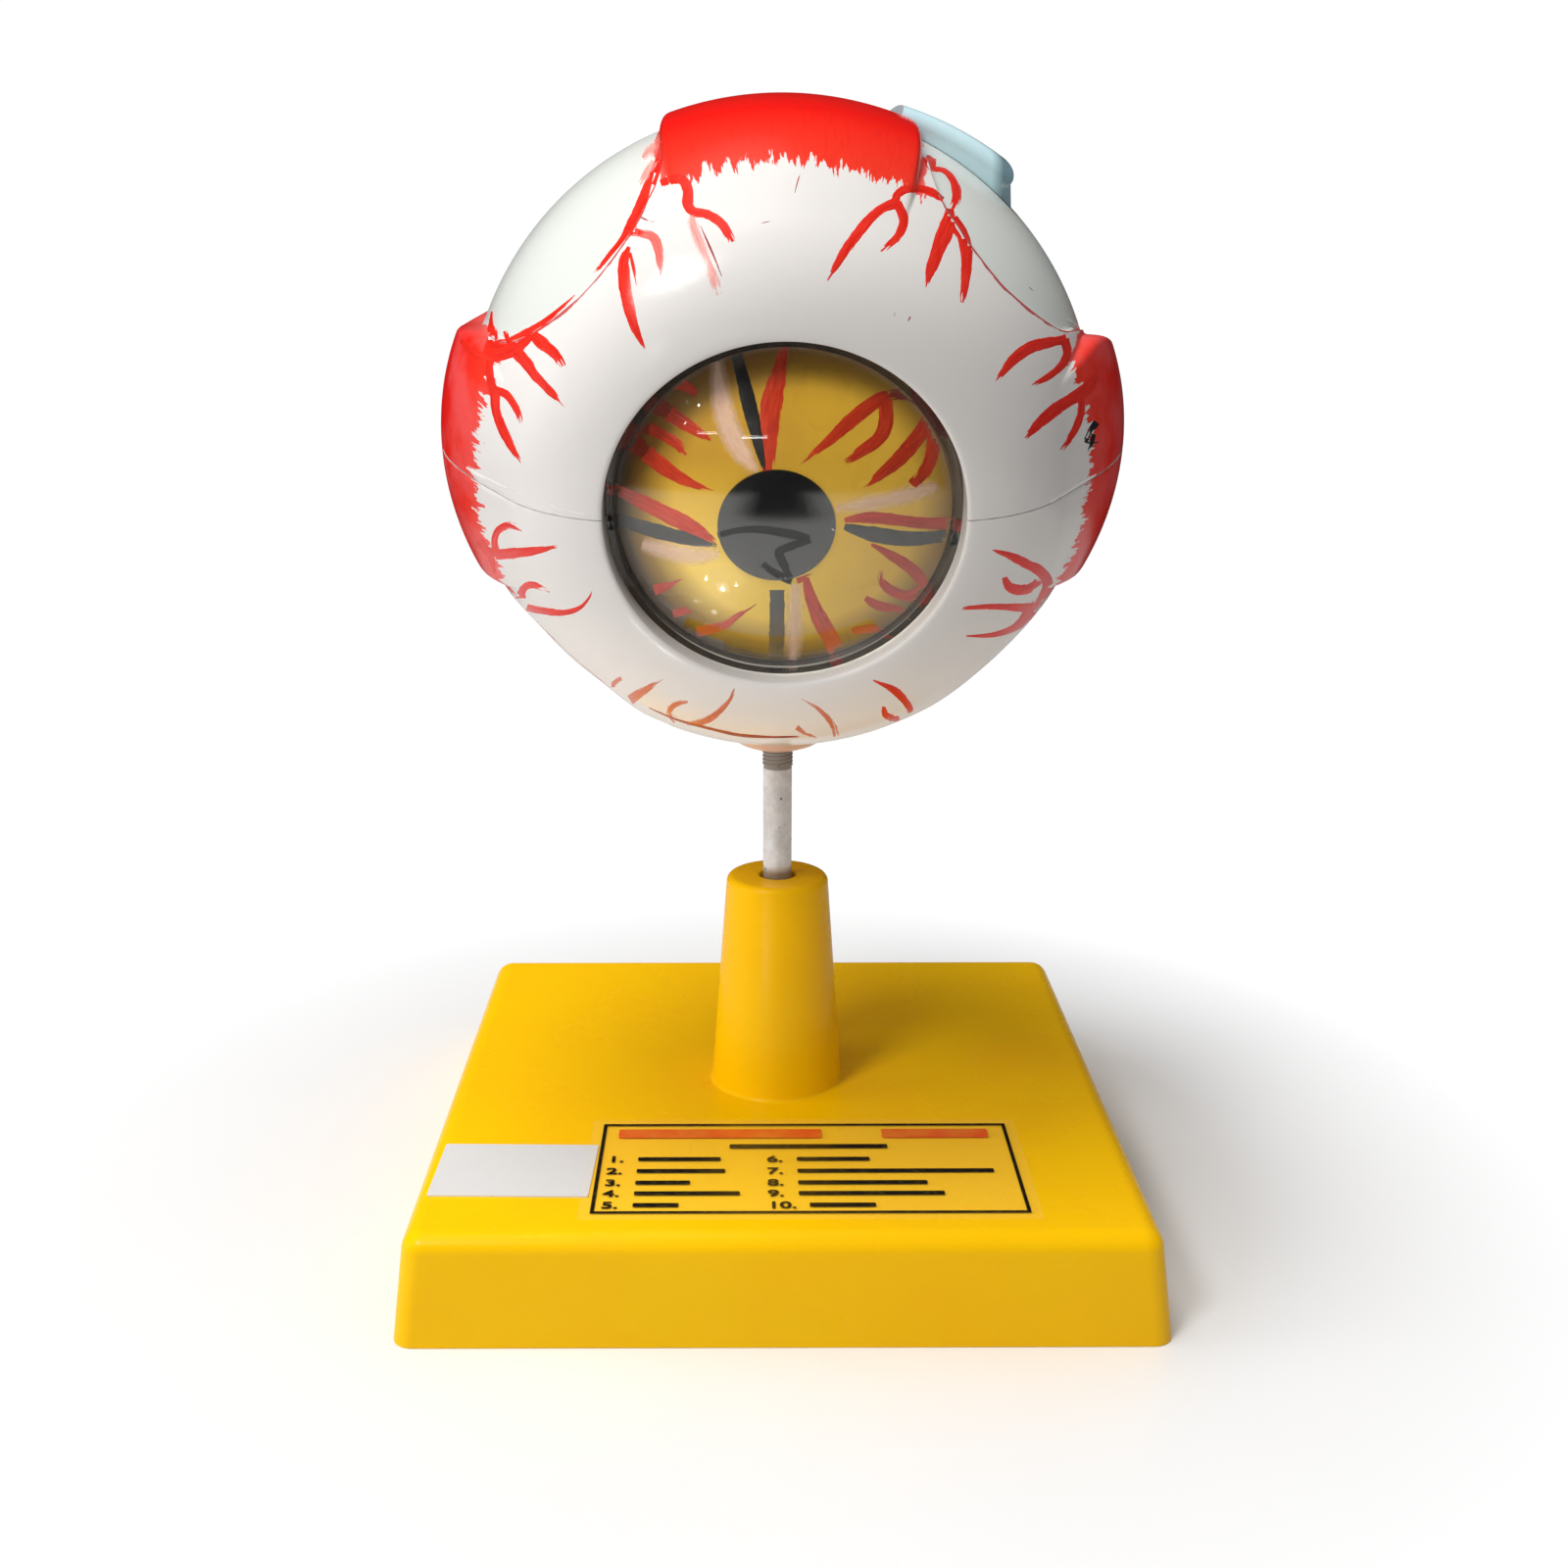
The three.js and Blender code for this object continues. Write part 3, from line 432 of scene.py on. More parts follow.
inner_side = BASE_SIDE / 2 - BASE_WALL
rib_reach = inner_side - SOCKET_RADIUS + 1
rib_middle = SOCKET_RADIUS - 0.5 + rib_reach / 2
ribs = [
    rib("rib_right", rib_reach, RIB, rib_middle, 0),
    rib("rib_left", rib_reach, RIB, -rib_middle, 0),
    rib("rib_rear", RIB, rib_reach, 0, rib_middle),
    rib("rib_front", RIB, rib_reach, 0, -rib_middle),
]
base = finish_shape(joined("stand_moulding", *ribs, post, base))

# %% [markdown]
# Glossy ABS gives a clear highlight over a deep, even colour. What tells it from paint is the slight
# waviness of a thick moulding, and the faint scuffs where hands take it.

# %% Glossy yellow ABS
yellow_abs, tree, shader, place = new_material("yellow_moulded_abs", 0.25, ior=1.53)
fill(shader, {"Specular IOR Level": 0.16})
wear = moulded_skin(tree, shader, place, rough=(0.24, 0.3), peel_mm=14, strength=0.02)
cloud = ramp(wear, 0.3, 0.7)
yellow = blend(cloud, "ffc900", "fec200")
speck_cells = add(tree, "TexVoronoi", {"Vector": place, "Scale": per_mm(34)})
speck = ramp(speck_cells, 0.004, 0.008, 1, 0)
fill(shader, {"Base Color": blend(speck, yellow, "5c4210")})
dress(base, yellow_abs, "stand", ["base_shell"])

# %% [markdown]
# ## The stickers
# Two stickers lie on the front of the base: a clear film with a printed black frame, and a small white
# label. The film could be a picture, but real edges and ink catch the light better, so the film is a thin
# sheet and each printed line is a hair of ink on it. The card lists ten numbers with a plain bar beside each,
# under a title bar, and the label is bare.

# %% The clear film and the white label
STICKER_THICK, STICKER_TOP = 0.28, BASE_HEIGHT + 0.3
INK_THICK = 0.04
FILM_SIZE, FILM_PLACE, FILM_CORNER = (90.5, 42.5), (5.4, -44.9), 0.8
LABEL_SIZE, LABEL_PLACE, LABEL_CORNER = (32, 22), (-54.1, -46), 0.4
LABEL_TOP, LABEL_TURN = STICKER_TOP - 0.01, -1.2


def flat_plane(name, size, place, low, turn=0.0):
    """A plane of a size on a level, opened in edit mode."""
    take()
    bpy.ops.mesh.primitive_plane_add(size=1, location=Vector((*place, low)) * MM)
    piece = named(name)
    piece.scale = (size[0] * MM, size[1] * MM, 1)
    piece.rotation_euler.z = math.radians(turn)
    bpy.ops.object.transform_apply(location=True, rotation=True, scale=True)
    open_mesh(piece)
    bpy.ops.mesh.select_all(action="SELECT")
    return piece


def sheet_of(name, size, place, thick=INK_THICK, top=STICKER_TOP + INK_THICK, corner=0.3, turn=0.0):
    """A thin flat sheet with rounded corners, pushed up from a plane."""
    piece = flat_plane(name, size, place, top - thick, turn)
    bpy.ops.mesh.bevel(offset=corner * MM, segments=4, affect="VERTICES")
    push_up(thick)
    return piece


card_film = sheet_of("card_film", FILM_SIZE, FILM_PLACE, STICKER_THICK, STICKER_TOP, FILM_CORNER)
label = sheet_of("white_label", LABEL_SIZE, LABEL_PLACE, STICKER_THICK, LABEL_TOP, LABEL_CORNER, LABEL_TURN)
for sticker in (card_film, label):
    finish_shape(sticker)

# %% The printed frame, numbers and bars
FRAME_SIZE, FRAME_PLACE = (85.9, 38.2), (5.5, -44.9)
LINE = 0.75
ROW_HEIGHTS = (-41.7, -46.8, -51.7, -56.1, -60.8)
COLUMN_LEFT = (-35.5, -2.8)
BAR_LENGTHS = ((17, 18, 11, 21, 9), (15, 40, 26, 29, 13))
BAR_DEPTH, DIGIT_HEIGHT, DIGIT_DROP = 1.5, 3.6, 1.2
DIGIT_BOLD, DIGIT_WIDEN = 0.09, 1.3
AFTER_DIGIT, AFTER_DIGITS = 6.2, 8.2
SUBTITLE_SIZE, SUBTITLE_PLACE = (33, 1.7), (6, -36.1)
TITLE_DEPTH, TITLE_Y = 3.9, -30.3
TITLE_WORDS = (("card_title_start", 43, -12.5), ("card_title_end", 22.5, 33))

card_frame = flat_plane("card_frame", FRAME_SIZE, FRAME_PLACE, STICKER_TOP)
bpy.ops.mesh.inset(thickness=LINE * MM)
bpy.ops.mesh.delete(type="FACE")
push_up(INK_THICK)
ink = [card_frame]
for column, start in enumerate(COLUMN_LEFT):
    for row, height in enumerate(ROW_HEIGHTS):
        number = 5 * column + row + 1
        take()
        bpy.ops.object.text_add(location=Vector((start, height - DIGIT_DROP, STICKER_TOP)) * MM)
        digit = named(f"card_number_{number}")
        digit.data.body = f"{number}."
        digit.data.size = DIGIT_HEIGHT * MM
        digit.data.offset = DIGIT_BOLD * MM
        digit.data.extrude = INK_THICK / 2 * MM
        digit.scale.x = DIGIT_WIDEN
        bpy.ops.object.convert(target="MESH")
        bpy.ops.object.transform_apply(location=True, scale=True)
        bar_length = BAR_LENGTHS[column][row]
        bar_middle = start + (AFTER_DIGIT if number < 10 else AFTER_DIGITS) + bar_length / 2
        ink.append(bpy.context.object)
        ink.append(sheet_of(f"card_bar_{number}", (bar_length, BAR_DEPTH), (bar_middle, height)))
ink.append(sheet_of("card_subtitle", SUBTITLE_SIZE, SUBTITLE_PLACE))
card_print = finish_shape(joined("card_print", *ink[1:], card_frame))
title = [sheet_of(name, (width, TITLE_DEPTH), (x, TITLE_Y), corner=0.4) for name, width, x in TITLE_WORDS]
card_title = finish_shape(joined("card_title", *title))

# %% [markdown]
# Clear polyester film is almost only gloss: it darkens the yellow a little and its edges show as a pale
# line. Printed ink is flat black with thin spots. The label is coated paper, softer and whiter.

# %% Film, ink and coated paper
clear_film, tree, shader, place = new_material("clear_polyester_film", 0.12, ior=1.57)
ripple = add(tree, "TexNoise", {"Vector": place, "Scale": per_mm(9), "Detail": 2})
lift = add(tree, "Bump", {"Height": ripple, "Strength": 0.15, "Distance": 0.3 * MM})
fill(shader, {"Normal": lift, "Base Color": linear("ffd98c"), "Alpha": 0.05})
card_film.visible_shadow = card_film.visible_diffuse = False
dress(card_film, clear_film, "stand", ["key_card"])

dress(card_print, mottled("printed_black_ink", "17140f", "4a3d18", 0.35, 1.2, between=(0.5, 0.75)), "stand")
dress(card_title, mottled("printed_red_ink", "ee5a1e", "f07a26", 0.35, 5), "stand")

coated_paper, tree, shader, place = new_material("coated_white_paper", 0.4)
fibre = add(tree, "TexNoise", {"Vector": place, "Scale": per_mm(0.8), "Detail": 4})
fill(shader, {"Base Color": blend(fibre, "d8d7d6", "e0dfde")})
press = add(tree, "Bump", {"Height": fibre, "Strength": 0.1, "Distance": 0.05 * MM})
fill(shader, {"Normal": press})
dress(label, coated_paper, "stand", ["blank_label"])

# %% [markdown]
# ## The rod
# A quarter inch bar of dull aluminium stands loose in the post. Its upper end has a fine screw thread, of
# which three or four turns show under the ball. Rings would look alike from afar, but a thread is one
# groove that climbs, so a small tooth is wound up by a Screw modifier.

# %% The bar and its thread
ROD_RADIUS, THREAD_RADIUS = 3.15, 3.35
ROD_LOW, ROD_HIGH, ROD_CHAMFER = 14.3, 115.09, 0.6
THREAD_LOW, THREAD_CLEAR = 94.6, 0.8
PITCH, THREAD_DEPTH = 0.85, 0.3
rod_outline = [
    (0, ROD_LOW),
    (ROD_RADIUS - ROD_CHAMFER, ROD_LOW),
    (ROD_RADIUS, ROD_LOW + ROD_CHAMFER),
    (ROD_RADIUS, THREAD_LOW - THREAD_DEPTH),
    (THREAD_RADIUS - THREAD_DEPTH, THREAD_LOW),
    (THREAD_RADIUS - THREAD_DEPTH, ROD_HIGH - ROD_CHAMFER),
    (THREAD_RADIUS - ROD_CHAMFER, ROD_HIGH),
    (0, ROD_HIGH),
]
rod = spun("stem_bar", rod_outline, ORIGIN, Z_AXIS, X_AXIS, steps=48)

turns = int((ROD_HIGH - THREAD_CLEAR - THREAD_LOW) / PITCH)
root = THREAD_RADIUS - THREAD_DEPTH - 0.05
tooth_outline = [(root, 0.1), (THREAD_RADIUS, 0.36), (THREAD_RADIUS, 0.5), (root, 0.76)]
thread = trace("stem_thread", [Vector((r, 0, THREAD_LOW + z)) * MM for r, z in tooth_outline])
bpy.ops.mesh.select_all(action="SELECT")
bpy.ops.mesh.edge_face_add()
bpy.ops.mesh.delete(type="ONLY_FACE")
take(thread)
bpy.ops.object.transform_apply(location=True)
winding = thread.modifiers.new("winding", "SCREW")
winding.screw_offset = PITCH * MM
winding.iterations = turns
winding.steps = winding.render_steps = 40
winding.use_merge_vertices = False
bpy.ops.object.modifier_apply(modifier=winding.name)
open_mesh(thread)
bpy.ops.mesh.select_all(action="SELECT")
bpy.ops.mesh.fill_holes(sides=0)
face_out()
rod = finish_shape(joined("stem_bar", thread, rod))

# %% [markdown]
# Drawn aluminium left bare goes dull: its oxide is grey white and patchy, with lengthwise drawing lines
# and small dark pits. The patches change the roughness as well as the colour, so they show in the gloss.

# %% Dull aluminium
dull_aluminium, tree, shader, place = new_material("oxidised_aluminium", 0.4, metallic=0.1)
drawn = add(tree, "Mapping", {"Vector": place, "Scale": (1, 1, 0.06)})
lines = add(tree, "TexNoise", {"Vector": drawn, "Scale": per_mm(0.8), "Detail": 3})
patches = add(tree, "TexNoise", {"Vector": place, "Scale": per_mm(4), "Detail": 6, "Roughness": 0.7})
oxide = ramp(patches, 0.42, 0.62)
metal_colour = blend(oxide, "e6e7e8", "fcfdff")
up_rod = add(tree, "SeparateXYZ", {0: place}, output=2)
in_thread = ramp(up_rod, (THREAD_LOW - THREAD_DEPTH) * MM, THREAD_LOW * MM, 0, 0.8)
metal_colour = blend(in_thread, metal_colour, "837c70")
# Painted reflection and shade: a brown band round the rod at the post's mouth stands in for the yellow post
# mirrored in it and for the shade in its bore.
over_mouth = ramp(up_rod, (POST_TOP + 0.8) * MM, (POST_TOP + 2.6) * MM, 0.8, 0)
in_mouth = ramp(up_rod, (POST_TOP - 5) * MM, (POST_TOP - 1) * MM, 0.12, 0.8)
post_reflection_and_shade = add(tree, "Math", {0: over_mouth, 1: in_mouth}, operation="MINIMUM")
metal_colour = blend(post_reflection_and_shade, metal_colour, "7d5c26")
pits = add(tree, "TexVoronoi", {"Vector": place, "Scale": per_mm(2.6)})
pit = ramp(pits, 0.06, 0.14, 1, 0)
grooves = add(tree, "Bump", {"Height": lines, "Strength": 0.4, "Distance": 0.1 * MM})
fill(shader, {"Base Color": blend(pit, metal_colour, "6f6a62"), "Normal": grooves})
fill(shader, {"Roughness": ramp(oxide, 0, 1, 0.38, 0.6)})
dress(rod, dull_aluminium, "stem", ["stem_rod"])

# %% [markdown]
# ## The white shell
# The ball is two hollow halves that meet along a fine seam. Its front is a thicker sheet with a scooped
# edge, and four flat muscles climb out of it and run back. A sphere with a displacement texture would blur
# these edges, so each half is spun as a closed wall with its rim, and its outer points are then moved out
# by the shape of the sheet and the muscles. The rows of points follow the edge of the sheet and the
# columns follow the sides of the muscles, which keeps both crisp.

# %% The sizes of the relief
BALL = 63
CAVITY = 59.5
SHEET_RISE = 1.3
RIDGE_LEFT, RIDGE_RIGHT = 55, 59
RIDGE_CURVE, RIDGE_HOOK = (11, 2.2), (8, 12)
RIDGE_WIDTH, RIDGE_REACH = 2.0, 22.5
WINDOW, WINDOW_AXIAL = 32.85, 50.0
WINDOW_EDGE, COLLAR_DEPTH = 0.7, 7.2
FLAT_START = 52
MUSCLE_TAIL, MUSCLE_END = 101, 128
TAIL_RISE, MUSCLE_EDGE, END_SLOPE = 2.38, 3.5, 4
NARROW_START, NARROW_END = 72, 92
WINDOW_REACH = math.hypot(WINDOW, WINDOW_AXIAL)
WINDOW_POLAR = math.degrees(math.atan2(WINDOW, WINDOW_AXIAL))

SIDE = dict(rise=6.1, start=54, crest=84, half=24.5, narrow=6.5, crown=0.18, paint=64.0)
MUSCLES = [
    dict(SIDE, azimuth=0),
    dict(azimuth=88.7, rise=3.7, start=54, crest=78, half=23.5, narrow=0, crown=0, paint=65.5),
    dict(SIDE, azimuth=180, rise=5.3, narrow=3),
    dict(SIDE, azimuth=270, rise=4, start=60, paint=84),
]


def smooth(value, low, high):
    """An S curve from 0 to 1 between two values."""
    part = np.clip((value - low) / (high - low), 0, 1)
    return part * part * (3 - 2 * part)


def of_muscle(azimuth):
    """The nearest muscle's values at each azimuth, and how far from its middle each azimuth is."""
    offsets = np.array([np.abs((azimuth - m["azimuth"] + 540) % 360 - 180) for m in MUSCLES])
    halves = np.array([m["half"] for m in MUSCLES])[:, None]
    nearest = np.argmin(offsets - halves, axis=0)
    values = {key: np.array([m[key] for m in MUSCLES])[nearest] for key in MUSCLES[0]}
    values["offset"] = np.take_along_axis(offsets, nearest[None], 0)[0]
    return values


def ridge_polar(azimuth):
    """Where the front sheet ends: far back beside a muscle, scooped forward between two."""
    m = of_muscle(azimuth)
    between = np.clip((m["offset"] - m["half"]) / RIDGE_REACH, 0, 1)
    scoop = RIDGE_LEFT + (RIDGE_RIGHT - RIDGE_LEFT) * smooth(np.cos(np.radians(azimuth)), -0.35, 0.35)
    return scoop + sum(size * (1 - between) ** power for size, power in (RIDGE_CURVE, RIDGE_HOOK))


def half_angle(m, polar):
    """Half the width of a muscle, in degrees: the side ones narrow behind their crest."""
    return m["half"] - m["narrow"] * smooth(polar, NARROW_START, NARROW_END)


def surface_radius(polar, azimuth):
    """How far the painted surface is from the middle of the ball, in mm."""
    m = of_muscle(azimuth)
    half = half_angle(m, polar)
    across = 1 - smooth(m["offset"], half - MUSCLE_EDGE, half)
    across = 1 - (1 - across) ** 2
    climb = SHEET_RISE + (m["rise"] - SHEET_RISE) * smooth(polar, m["start"], m["crest"])
    roll = (m["rise"] - TAIL_RISE) * smooth(polar, m["crest"], MUSCLE_TAIL)
    crown = 1 - m["crown"] * (m["offset"] / half) ** 2
    muscle = (climb - roll) * crown * across * (1 - smooth(polar, MUSCLE_END - END_SLOPE, MUSCLE_END))
    sheet = SHEET_RISE * (1 - smooth(polar - ridge_polar(azimuth), -RIDGE_WIDTH / 2, RIDGE_WIDTH / 2))
    flat = np.clip((FLAT_START - polar) / (FLAT_START - WINDOW_POLAR), 0, 1)
    return BALL + np.maximum(sheet, muscle) - (BALL + SHEET_RISE - WINDOW_REACH) * flat**2


print(f"the window's edge is {WINDOW_POLAR:.1f} degrees from the middle of the pupil")

# %% Spin one closed half and press its relief
ROWS = (0, 44, 52, 122, 128, 160)
COLUMNS = (0, 1, 22, 34, 67, 79, 121, 133, 166, 178, 199, 200)
RIM_POLAR = WINDOW_POLAR + 0.8
SEAM, SEAM_EDGE = 0.11, 0.12
SEAM_WAVES = ((0.03, 1.7, 0), (0.02, 4.3, 1))
SLIT, SLIT_MIDDLE, SLIT_REACH = 0.4, 84, 12
BESIDE_SEAM, BESIDE_SHARE = 0.35, 0.4


def spread(fraction, knots, values):
    """A bent line through the values at the knots, where the values differ from point to point."""
    place = fraction * knots[-1]
    total = values[0] + 0 * fraction
    for low, high, first, second in zip(knots, knots[1:], values, values[1:]):
        total = total + (second - first) * np.clip((place - low) / (high - low), 0, 1)
    return total


def to_eye(points):
    """World points in metres as millimetres in the eye's own frame: right, back, up."""
    away = (points - np.array(EYE)) / MM
    return np.stack([away[:, 0], -away @ np.array(FORWARD), away @ np.array(EYE_UP)], axis=1)


def to_world(points):
    """The way back from the eye's own frame."""
    axes = np.array([X_AXIS, -FORWARD, EYE_UP])
    return points @ axes * MM + np.array(EYE)


def from_angles(reach, polar, azimuth):
    """Points in the eye's own frame, given by their distance in mm and two angles."""
    p, a = np.radians(polar), np.radians(azimuth)
    ring = reach * np.sin(p)
    return np.stack([ring * np.cos(a), -reach * np.cos(p), ring * np.sin(a)], axis=1)


def points_of(mesh):
    """The places of a mesh's points, one row each."""
    flat = np.empty(len(mesh.vertices) * 3)
    mesh.vertices.foreach_get("co", flat)
    return flat.reshape(-1, 3)


def column_azimuth(fraction, polar, start):
    """Azimuths that keep a column of points on each side of a muscle."""
    first, middle, last = MUSCLES[:3] if start == 0 else (MUSCLES[2], MUSCLES[3], MUSCLES[0])
    first_half, last_half = half_angle(first, polar), half_angle(last, polar)
    mid_half = half_angle(middle, polar)
    mid = middle["azimuth"]
    end = start + 180
    values = [start + 0 * polar, start + 0.2, start + first_half - MUSCLE_EDGE, start + first_half]
    values += [mid - mid_half, mid - mid_half + MUSCLE_EDGE, mid + mid_half - MUSCLE_EDGE, mid + mid_half]
    values += [end - last_half, end - last_half + MUSCLE_EDGE, end - 0.2, end + 0 * polar]
    return spread(fraction, COLUMNS, values)


def shell_half(name, start):
    """One half of the shell, from one seam to the other, with a rounded lip at the window."""
    edge, rim = surface_radius(np.array([RIM_POLAR]), np.array([45.0]))[0], math.radians(RIM_POLAR)
    lip = (edge * math.sin(rim), edge * math.cos(rim))
    low_lip = (WINDOW, WINDOW_AXIAL - WINDOW_EDGE)
    corner = (WINDOW, WINDOW_AXIAL - 0.05)
    curve = [((1 - t) ** 2, 2 * t * (1 - t), t * t) for t in (0, 0.25, 0.5, 0.75)]
    lip_curve = [tuple(a * p + b * q + c * r for p, q, r in zip(low_lip, corner, lip)) for a, b, c in curve]
    outline = [
        (WINDOW, WINDOW_AXIAL - COLLAR_DEPTH),
        (WINDOW, WINDOW_AXIAL - COLLAR_DEPTH / 2),
        *lip_curve,
        *arc(BALL, RIM_POLAR, 180, ROWS[-1]),
        *arc(CAVITY, 180, polar_at(CAVITY, WINDOW_AXIAL - COLLAR_DEPTH), 24),
    ]
    across = X_AXIS if start == 0 else -X_AXIS
    piece = ball_outline(name, outline, across=across, sweep=180, steps=COLUMNS[-1], closed=True)
    take(piece)
    bpy.ops.object.transform_apply(location=True)
    return piece


def press_relief(piece, start):
    """Moves the points of a spun half to the sheet and the muscles, and notes where each one lies."""
    mesh = piece.data
    local = to_eye(points_of(mesh))
    reach = np.linalg.norm(local, axis=1)
    polar = np.degrees(np.arccos(np.clip(-local[:, 1] / reach, -1, 1)))
    azimuth = np.degrees(np.arctan2(local[:, 2], local[:, 0])) % 360
    turned = (azimuth - start + 90) % 360 - 90
    on_axis = np.hypot(local[:, 0], local[:, 2]) < 0.01
    fraction = np.where(on_axis, 0.5, np.clip(turned / 180, 0, 1))
    outside = reach > BALL - 0.3
    down = np.clip((polar - RIM_POLAR) / (180 - RIM_POLAR), 0, 1)
    azimuth = column_azimuth(fraction, np.full_like(polar, RIDGE_LEFT), start)
    ridge = ridge_polar(azimuth)
    ridge_half, slope = RIDGE_WIDTH / 2, MUSCLE_END - END_SLOPE
    rows = [RIM_POLAR, ridge - ridge_half, ridge + ridge_half, slope, MUSCLE_END, 180]
    new_polar = np.where(outside, spread(down, ROWS, rows), polar)
    azimuth = np.where(outside, column_azimuth(fraction, new_polar, start), azimuth)
    new_reach = np.where(outside, surface_radius(new_polar, azimuth), reach)
    at_seam = (fraction < 0.001) | (fraction > 0.999)
    new_reach = new_reach - np.where(at_seam & outside, SEAM_EDGE, 0)
    local = from_angles(new_reach, new_polar, azimuth)
    wobble = sum(size * np.sin(new_polar * rate + shift) for size, rate, shift in SEAM_WAVES)
    slit = SLIT * np.exp(-(((new_polar - SLIT_MIDDLE) / SLIT_REACH) ** 2))
    lift = (SEAM / 2 + np.clip(wobble, -0.03, 0.05) + slit) * (1 if start == 0 else -1)
    beside = lift * BESIDE_SHARE * (np.abs(local[:, 2]) < BESIDE_SEAM)
    local[:, 2] += np.where(at_seam | on_axis, lift, beside)
    mesh.vertices.foreach_set("co", to_world(local).ravel())
    note_relief(mesh, new_polar, azimuth)
    outer = mesh.attributes.new("outer_face", "FLOAT", "FACE")
    outer.data.foreach_set("value", [float(outside[list(face.vertices)].all()) for face in mesh.polygons])
    mesh.update()


def note(mesh, name, columns):
    """Stores three values of each point under a name."""
    values = mesh.attributes.new(name, "FLOAT_VECTOR", "POINT")
    values.data.foreach_set("vector", np.stack(columns, axis=1).ravel())


def note_relief(mesh, polar, azimuth):
    """Stores each point's place on the ball, and its distance in mm from the painted edges."""
    m = of_muscle(azimuth)
    to_mm = math.radians(1) * (BALL + 2)
    side_mm = (half_angle(m, polar) - m["offset"]) * np.sin(np.radians(polar)) * to_mm
    front_mm = (polar - m["paint"]) * to_mm
    back_mm = (MUSCLE_END + 0.5 - polar) * to_mm
    ridge_mm = (polar - ridge_polar(azimuth)) * to_mm
    note(mesh, "ball_place", [polar, azimuth, ridge_mm])
    note(mesh, "muscle_edges", [front_mm, side_mm, back_mm])


shell_upper = shell_half("sclera_upper_shell", 0)
press_relief(shell_upper, 0)
finish_shape(shell_upper, 40)
shell_lower = shell_half("sclera_lower_shell", 180)
press_relief(shell_lower, 180)

# %% The boss that takes the rod, turned and joined to the lower half
BOSS_LOW, BOSS_HIGH = 99.2, 108.5
BOSS_FOOT, BOSS_ROOT, BOSS_BULGE = 6, 11, 5
BOSS_HOLE = 3.65
bulge = [
    (BOSS_FOOT + (BOSS_ROOT - BOSS_FOOT) * math.sin(a), BOSS_LOW + 0.5 + BOSS_BULGE * (1 - math.cos(a)))
    for a in [math.radians(90 * i / 10) for i in range(11)]
]
boss_outline = [
    (BOSS_HOLE, BOSS_LOW + 0.3),
    (BOSS_HOLE + 0.3, BOSS_LOW),
    (BOSS_FOOT - 0.5, BOSS_LOW),
    (BOSS_FOOT - 0.12, BOSS_LOW + 0.15),
    *bulge,
    (BOSS_ROOT, BOSS_HIGH),
    (BOSS_HOLE, BOSS_HIGH),
]
boss = spun("rod_boss", boss_outline, ORIGIN, Z_AXIS, X_AXIS, steps=64, closed=True)
shell_lower = finish_shape(joined("sclera_lower_shell", boss, shell_lower), 40)

# %% [markdown]
# The shell is white PVC with gloss paint laid on by hand. The red of the muscles has no clean edge: the
# brush leaves streaks that run forward. Noise that is stretched along the muscle and added to the
# distance from the painted edge gives just that, and a face attribute keeps paint off the inside. The
# edge of the front sheet has a thin dark red line, the white behind it is a little cooler and darker, partly
# as painted shade, the lower part of the ball is painted almost pure white as painted light from below,
# the sides of the muscles are paler pink, partly as a painted highlight, the white by the boss is flushed
# with red, and gloss varies with handling.

# %% Hand painted white and red
painted_white, tree, shader, place = new_material("hand_painted_white_pvc", 0.3)
fill(shader, {"Specular IOR Level": 0.36})
spot = add(tree, "Attribute", attribute_name="ball_place", output="Vector")
edges = add(tree, "Attribute", attribute_name="muscle_edges", output="Vector")
ridge_mm = add(tree, "SeparateXYZ", {0: spot}, output=2)
front_mm, side_mm, back_mm = add(tree, "SeparateXYZ", {0: edges}, output=None)
height = add(tree, "SeparateXYZ", {0: place}, output=2)

streak_place = add(tree, "Mapping", {"Vector": spot, "Scale": (0.1, 0.62, 0)})
streaks = add(tree, "TexNoise", {"Vector": streak_place, "Scale": 1.0, "Detail": 3, "Roughness": 0.75})
streak_reach = ramp(streaks, 0.3, 0.72, -2.6, 5.2)
waver = add(tree, "TexNoise", {"Vector": place, "Scale": per_mm(5), "Detail": 4})
side_waver = ramp(waver, 0.3, 0.7, -0.7, 0.9)
front_paint = add(tree, "Math", {0: front_mm, 1: streak_reach}, operation="ADD")
side_paint = add(tree, "Math", {0: side_mm, 1: side_waver}, operation="ADD")
nearest = add(tree, "Math", {0: front_paint, 1: side_paint}, operation="MINIMUM")
painted = add(tree, "Math", {0: nearest, 1: back_mm}, operation="MINIMUM")
outer_face = add(tree, "Attribute", attribute_name="outer_face", output="Fac")
covered = ramp(painted, -0.12, 0.18)
red_mask = add(tree, "Math", {0: covered, 1: outer_face}, operation="MULTIPLY")

depth = ramp(front_mm, 0, 16)
deep_red = blend(depth, "f03a28", "ec160e")
brushed = add(tree, "TexNoise", {"Vector": streak_place, "Scale": 2.2, "Detail": 4})
deep_red = blend(ramp(brushed, 0.5, 0.85, 0, 0.4), deep_red, "cc1a20")
# Paler pink along the muscles' sides: thinner paint there, and partly a painted highlight on the side walls.
deep_red = blend(ramp(side_mm, 0.2, 2.4, 0.5, 0), deep_red, "f4857e")
washed = add(tree, "TexNoise", {"Vector": place, "Scale": per_mm(11), "Detail": 3})
low_down = ramp(height, 200 * MM, 210 * MM, 0.55, 0)
washed = ramp(washed, 0.4, 0.62)
pinker = add(tree, "Math", {0: washed, 1: low_down}, operation="MULTIPLY")
deep_red = blend(pinker, deep_red, "ee6464")
